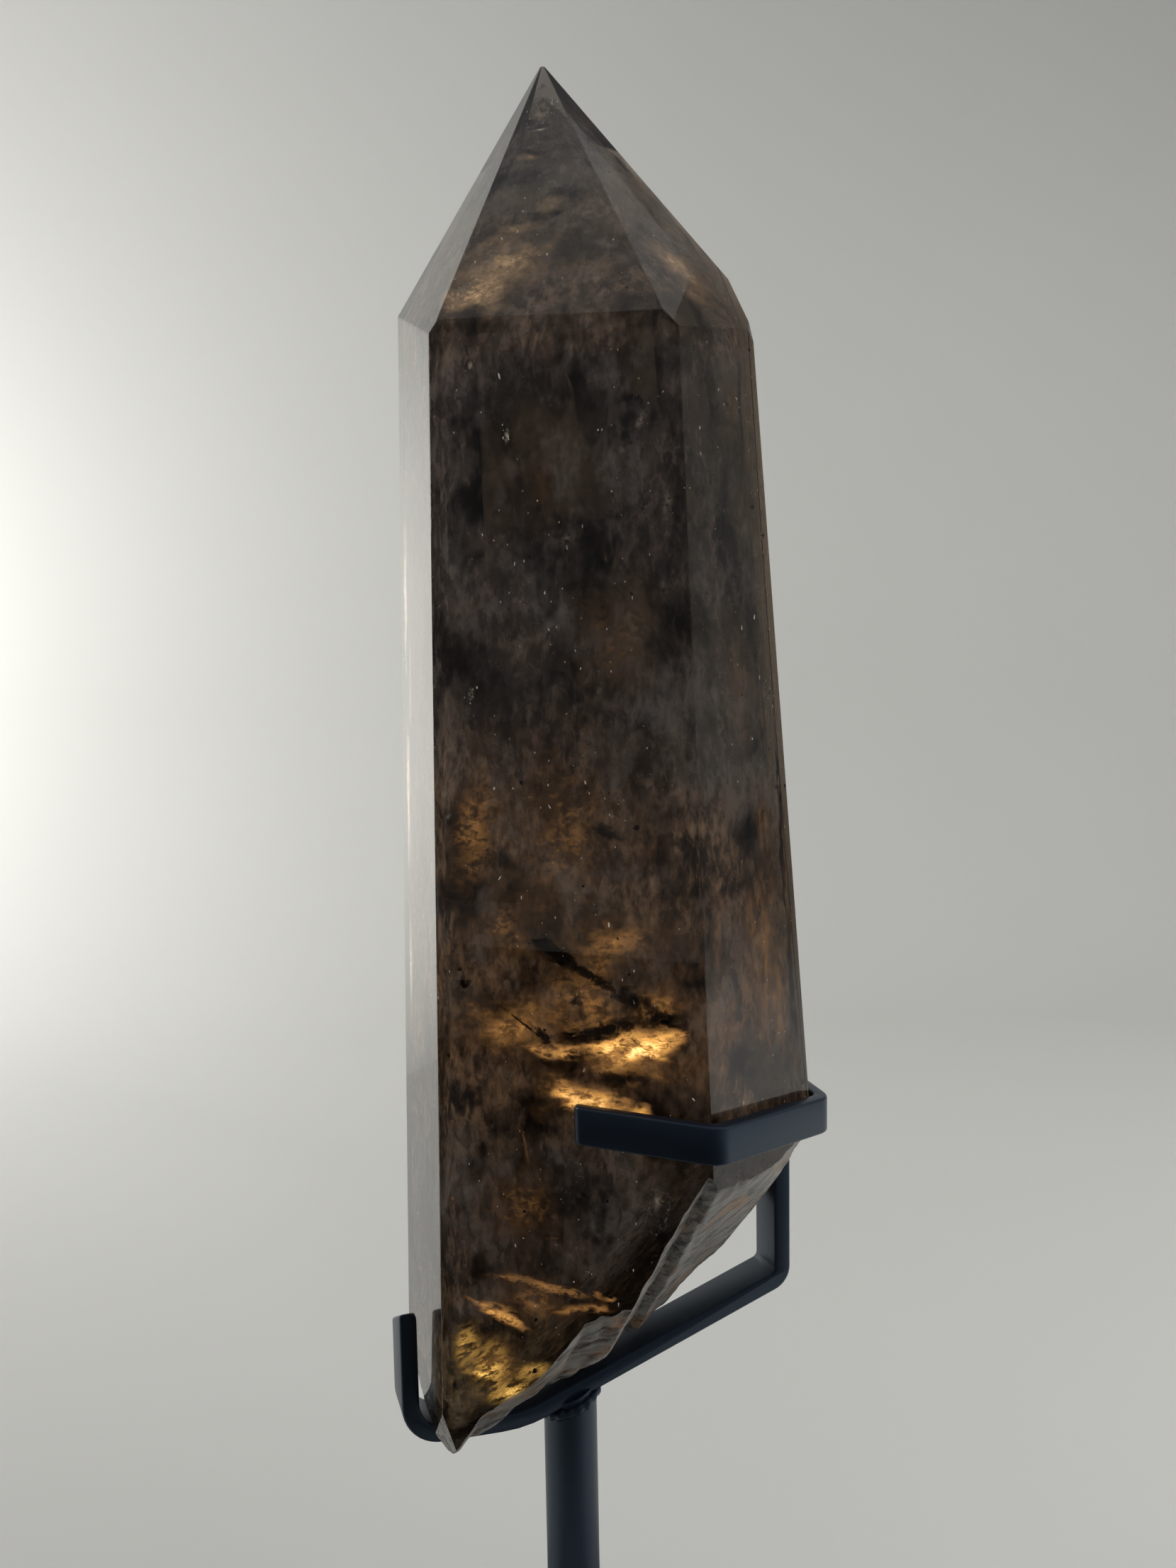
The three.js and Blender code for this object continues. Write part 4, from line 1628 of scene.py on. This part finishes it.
    def grains(self, group: Grains) -> bpy.types.Object:
        """Small angular grains, in clusters and strewn through the crystal."""
        places: list[Vector] = []
        for at, count, spread in group.clusters:
            for _ in range(count):
                step = Vector([self.rng.gauss(0, 0.6) for _ in range(3)])
                places.append(Vector(at) + Vector((step.x, step.y * 0.4, step.z * 1.3)) * spread)
        places = [place for place in places if self.crystal.holds(place, 0.8)]
        places += self.near_skin(group.count, self.grain_depths)
        bm = bmesh.new()
        for place in places:
            size = self.rng.uniform(*group.sizes) * self.rng.choice((0.5, 0.7, 1.0))
            verts = bmesh.ops.create_icosphere(bm, subdivisions=1, radius=size)["verts"]
            for v in verts:
                v.co *= self.rng.uniform(0.6, 1.25)
            stretch = (1.0, self.rng.uniform(0.4, 1.0), self.rng.uniform(1.0, group.tall))
            turn = Matrix.Rotation(self.rng.uniform(0, math.tau), 4, "Z")
            lean = Matrix.Rotation(self.rng.gauss(0, 0.35), 4, "X")
            bmesh.ops.scale(bm, vec=stretch, verts=verts)
            bmesh.ops.transform(bm, matrix=Matrix.Translation(place) @ turn @ lean, verts=verts)
        return to_object(bm, group.name)


# Studio


def set_up(
    bm: bmesh.types.BMesh, name: str, finish: bpy.types.Material, unseen: Iterable[str] = ()
) -> None:
    """Turn a mesh in metres into a piece of the studio.

    Args:
        bm: The mesh.
        name: The object's name.
        finish: Its material.
        unseen: Kinds of ray that don't see it.
    """
    made = linked(bm, name)
    made.data.materials.append(finish)
    for kind in unseen:
        setattr(made, f"visible_{kind}", False)


def card(width: float, height: float) -> bmesh.types.BMesh:
    """Flat card about the origin."""
    bm = bmesh.new()
    bmesh.ops.create_grid(bm, x_segments=1, y_segments=1, size=0.5)
    bmesh.ops.scale(bm, vec=(width, height, 1.0), verts=bm.verts)
    return bm


@dataclass(frozen=True)
class Softbox:
    """Square area lamp that the camera doesn't see, and polished faces neither where it says so."""

    name: str
    at: tuple[float, float, float]
    towards: tuple[float, float, float]
    size: float
    power: float
    colour: Colour = (1.0, 1.0, 1.0)
    matt_only: bool = False

    def build(self) -> None:
        """Make the lamp. Places and size are in metres."""
        lamp = bpy.data.lights.new(self.name, "AREA")
        lamp.shape = "SQUARE"
        lamp.size = self.size
        lamp.energy = self.power
        lamp.color = self.colour
        made = bpy.data.objects.new(self.name, lamp)
        made.location = self.at
        aim = Vector(self.towards) - Vector(self.at)
        made.rotation_euler = aim.to_track_quat("-Z", "Y").to_euler()
        made.visible_camera = False
        made.visible_glossy = made.visible_transmission = not self.matt_only
        bpy.context.scene.collection.objects.link(made)


@dataclass(frozen=True)
class GlowCard:
    """Upright shining card that shows in polished faces alone, with soft upper and lower ends."""

    name: str
    at: tuple[float, float, float]
    width: float
    height: float
    faces: float
    shine: float
    fade: tuple[float, float]
    colour: Colour = (1.0, 1.0, 1.0)

    def build(self) -> None:
        """Make the card. Places and sizes are in metres."""
        bm = card(self.width, self.height)
        stand = turned(self.faces, "Z", 4) @ turned(90, "X", 4)
        bmesh.ops.transform(bm, matrix=Matrix.Translation(self.at) @ stand, verts=bm.verts)
        graph = Graph.paint(self.name)
        height = graph.height
        low, high = self.at[2] - self.height / 2, self.at[2] + self.height / 2
        level = height.between(low, low + self.fade[0]) * height.between(high, high - self.fade[1])
        shine = graph.node(
            "ShaderNodeEmission", {}, {"Color": (*self.colour, 1.0), "Strength": self.shine}
        )
        look = graph.mixed(level, graph.node("ShaderNodeBsdfTransparent"), shine)
        unseen = ("camera", "diffuse", "transmission", "shadow")
        set_up(bm, self.name, graph.finish(look), unseen)


@dataclass
class Studio:
    """Camera, pale floor that curves up into a backdrop, and soft light."""

    camera_at: tuple[float, float, float] = (0.0052, -0.201, 0.215)
    pitch: float = 5.1
    roll: float = 1.04
    focal_px: float = 1661.0
    frame_px: tuple[int, int] = (1659, 2212)
    sensor: float = 36.0
    near: float = 0.005
    wall: float = 0.72
    bend: float = 0.2
    half_width: float = 1.3
    ground_from: float = -1.2
    wall_top: float = 1.5
    pale: Colour = (0.72, 0.72, 0.7)
    dim: float = 0.11
    side: float = 0.13
    above: float = 0.03
    seen_low: Colour = (0.125, 0.125, 0.12)
    seen_high: Colour = (0.5, 0.5, 0.48)
    flag_size: tuple[float, float] = (1.0, 0.8)
    flag_at: tuple[float, float, float] = (-0.12, -0.49, 0.002)
    flag_black: Colour = (0.02, 0.02, 0.022)
    bend_steps: int = 24
    bounces: int = 9
    diffuse_bounces: int = 2
    lamps: Sequence[Softbox] = (
        Softbox("left_window", (-0.85, 0.1, 0.7), (-0.15, 0.6, 0.2), 0.7, 4.2, (1.0, 0.99, 0.96)),
        Softbox("ceiling", (0.15, 0.0, 1.25), (0.1, 0.3, 0.0), 1.3, 1.0, (0.97, 0.985, 1.0)),
        Softbox("low_right", (0.55, -0.1, 0.4), (0.25, 0.15, 0.0), 0.6, 1.9, (1.0, 1.0, 0.98), True),
        Softbox("right_wall", (0.9, -0.1, 0.6), (0.5, 0.72, 0.1), 0.5, 0.7, (1.0, 1.0, 0.96)),
        Softbox(
            "wall_patch", (-0.7, 0.42, 0.3), (-0.36, 0.72, 0.24), 0.16, 1.5, (1.0, 0.99, 0.96), True
        ),
    )
    cards: Sequence[GlowCard] = (
        GlowCard("left_card", (-0.25, 0.4, 0.2), 0.3, 0.5, 150, 1.4, (0.24, 0.2), (1.0, 0.985, 0.92)),
        GlowCard("right_card", (1.0, 0.02, 0.45), 0.7, 0.6, 90, 0.24, (0.02, 0.3), (0.95, 1.0, 0.97)),
    )

    def build(self) -> None:
        """Make everything round the object."""
        self.camera()
        self.backdrop()
        self.flag()
        self.air()
        scene = bpy.context.scene
        scene.view_settings.view_transform = "Standard"
        scene.cycles.max_bounces = self.bounces
        scene.cycles.diffuse_bounces = self.diffuse_bounces
        for piece in (*self.lamps, *self.cards):
            piece.build()

    def camera(self) -> None:
        """Camera at the photograph's place, angle and field of view."""
        data = bpy.data.cameras.new("camera")
        data.sensor_width = self.sensor
        data.lens = self.sensor * self.focal_px / max(self.frame_px)
        data.clip_start = self.near
        made = bpy.data.objects.new("camera", data)
        pitch, roll = math.radians(self.pitch), math.radians(self.roll)
        right = Vector((1, 0, 0))
        ahead = Vector((0, math.cos(pitch), -math.sin(pitch)))
        up = Vector((0, math.sin(pitch), math.cos(pitch)))
        x_axis = right * math.cos(roll) - up * math.sin(roll)
        y_axis = right * math.sin(roll) + up * math.cos(roll)
        turn = Matrix((x_axis, y_axis, -ahead)).transposed()
        made.matrix_world = Matrix.Translation(self.camera_at) @ turn.to_4x4()
        bpy.context.scene.collection.objects.link(made)
        bpy.context.scene.camera = made

    def backdrop(self) -> None:
        """One sheet: floor, bend and wall."""
        bm = bmesh.new()
        ends = [bm.verts.new((x, self.ground_from, 0)) for x in (-self.half_width, self.half_width)]
        edge = bm.edges.new(ends)
        along = bmesh.ops.extrude_edge_only(bm, edges=[edge])["geom"]
        line = verts_of(along)
        for v in line:
            v.co.y = self.wall - self.bend
        spun = bmesh.ops.spin(
            bm,
            geom=line + edges_of(along),
            cent=(0, self.wall - self.bend, self.bend),
            axis=(1, 0, 0),
            angle=math.pi / 2,
            steps=self.bend_steps,
        )["geom_last"]
        up = bmesh.ops.extrude_edge_only(bm, edges=edges_of(spun))["geom"]
        for v in verts_of(up):
            v.co.z = self.wall_top
        bmesh.ops.remove_doubles(bm, verts=bm.verts, dist=1e-6)
        for face in bm.faces:
            face.smooth = True
        set_up(bm, "backdrop", MattPaint("pale_paint", self.pale).material())

    def flag(self) -> None:
        """Black card in front of the object that only its reflections show."""
        bm = card(*self.flag_size)
        bmesh.ops.translate(bm, vec=self.flag_at, verts=bm.verts)
        paint = MattPaint("black_card", self.flag_black).material()
        set_up(bm, "flag", paint, ("camera", "diffuse", "shadow"))

    def air(self) -> None:
        """Surrounding light: dim from the viewer's side, brighter from behind and above."""
        world = bpy.data.worlds.new("air")
        graph = Graph(world)
        way = graph.node("ShaderNodeTexCoord", output="Generated")
        back, up = graph.part(way, "Y"), graph.part(way, "Z")
        level = self.dim + self.side * back.between(-0.1, 0.5) + self.above * up.between(0.2, 0.8)
        level = graph.node("ShaderNodeCombineColor", {}, {0: level, 1: level, 2: level})
        camera = graph.node("ShaderNodeLightPath", output="Is Camera Ray")
        seen = graph.blend(up.between(-0.02, 0.4), self.seen_low, self.seen_high)
        shade = graph.node("ShaderNodeBackground", {}, {"Color": graph.blend(camera, level, seen)})
        graph.node("ShaderNodeOutputWorld", {}, {"Surface": shade})
        bpy.context.scene.world = world


def main() -> None:
    """Build the whole scene round the frame."""
    logging.basicConfig(level=logging.INFO, format="%(name)s %(message)s")
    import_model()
    Studio().build()
    crystal = Crystal()
    crystal.base.measure_bar()
    crystal.build()
    Inclusions(crystal).build()
    SlingStand().build()


if __name__ == "__main__":
    main()
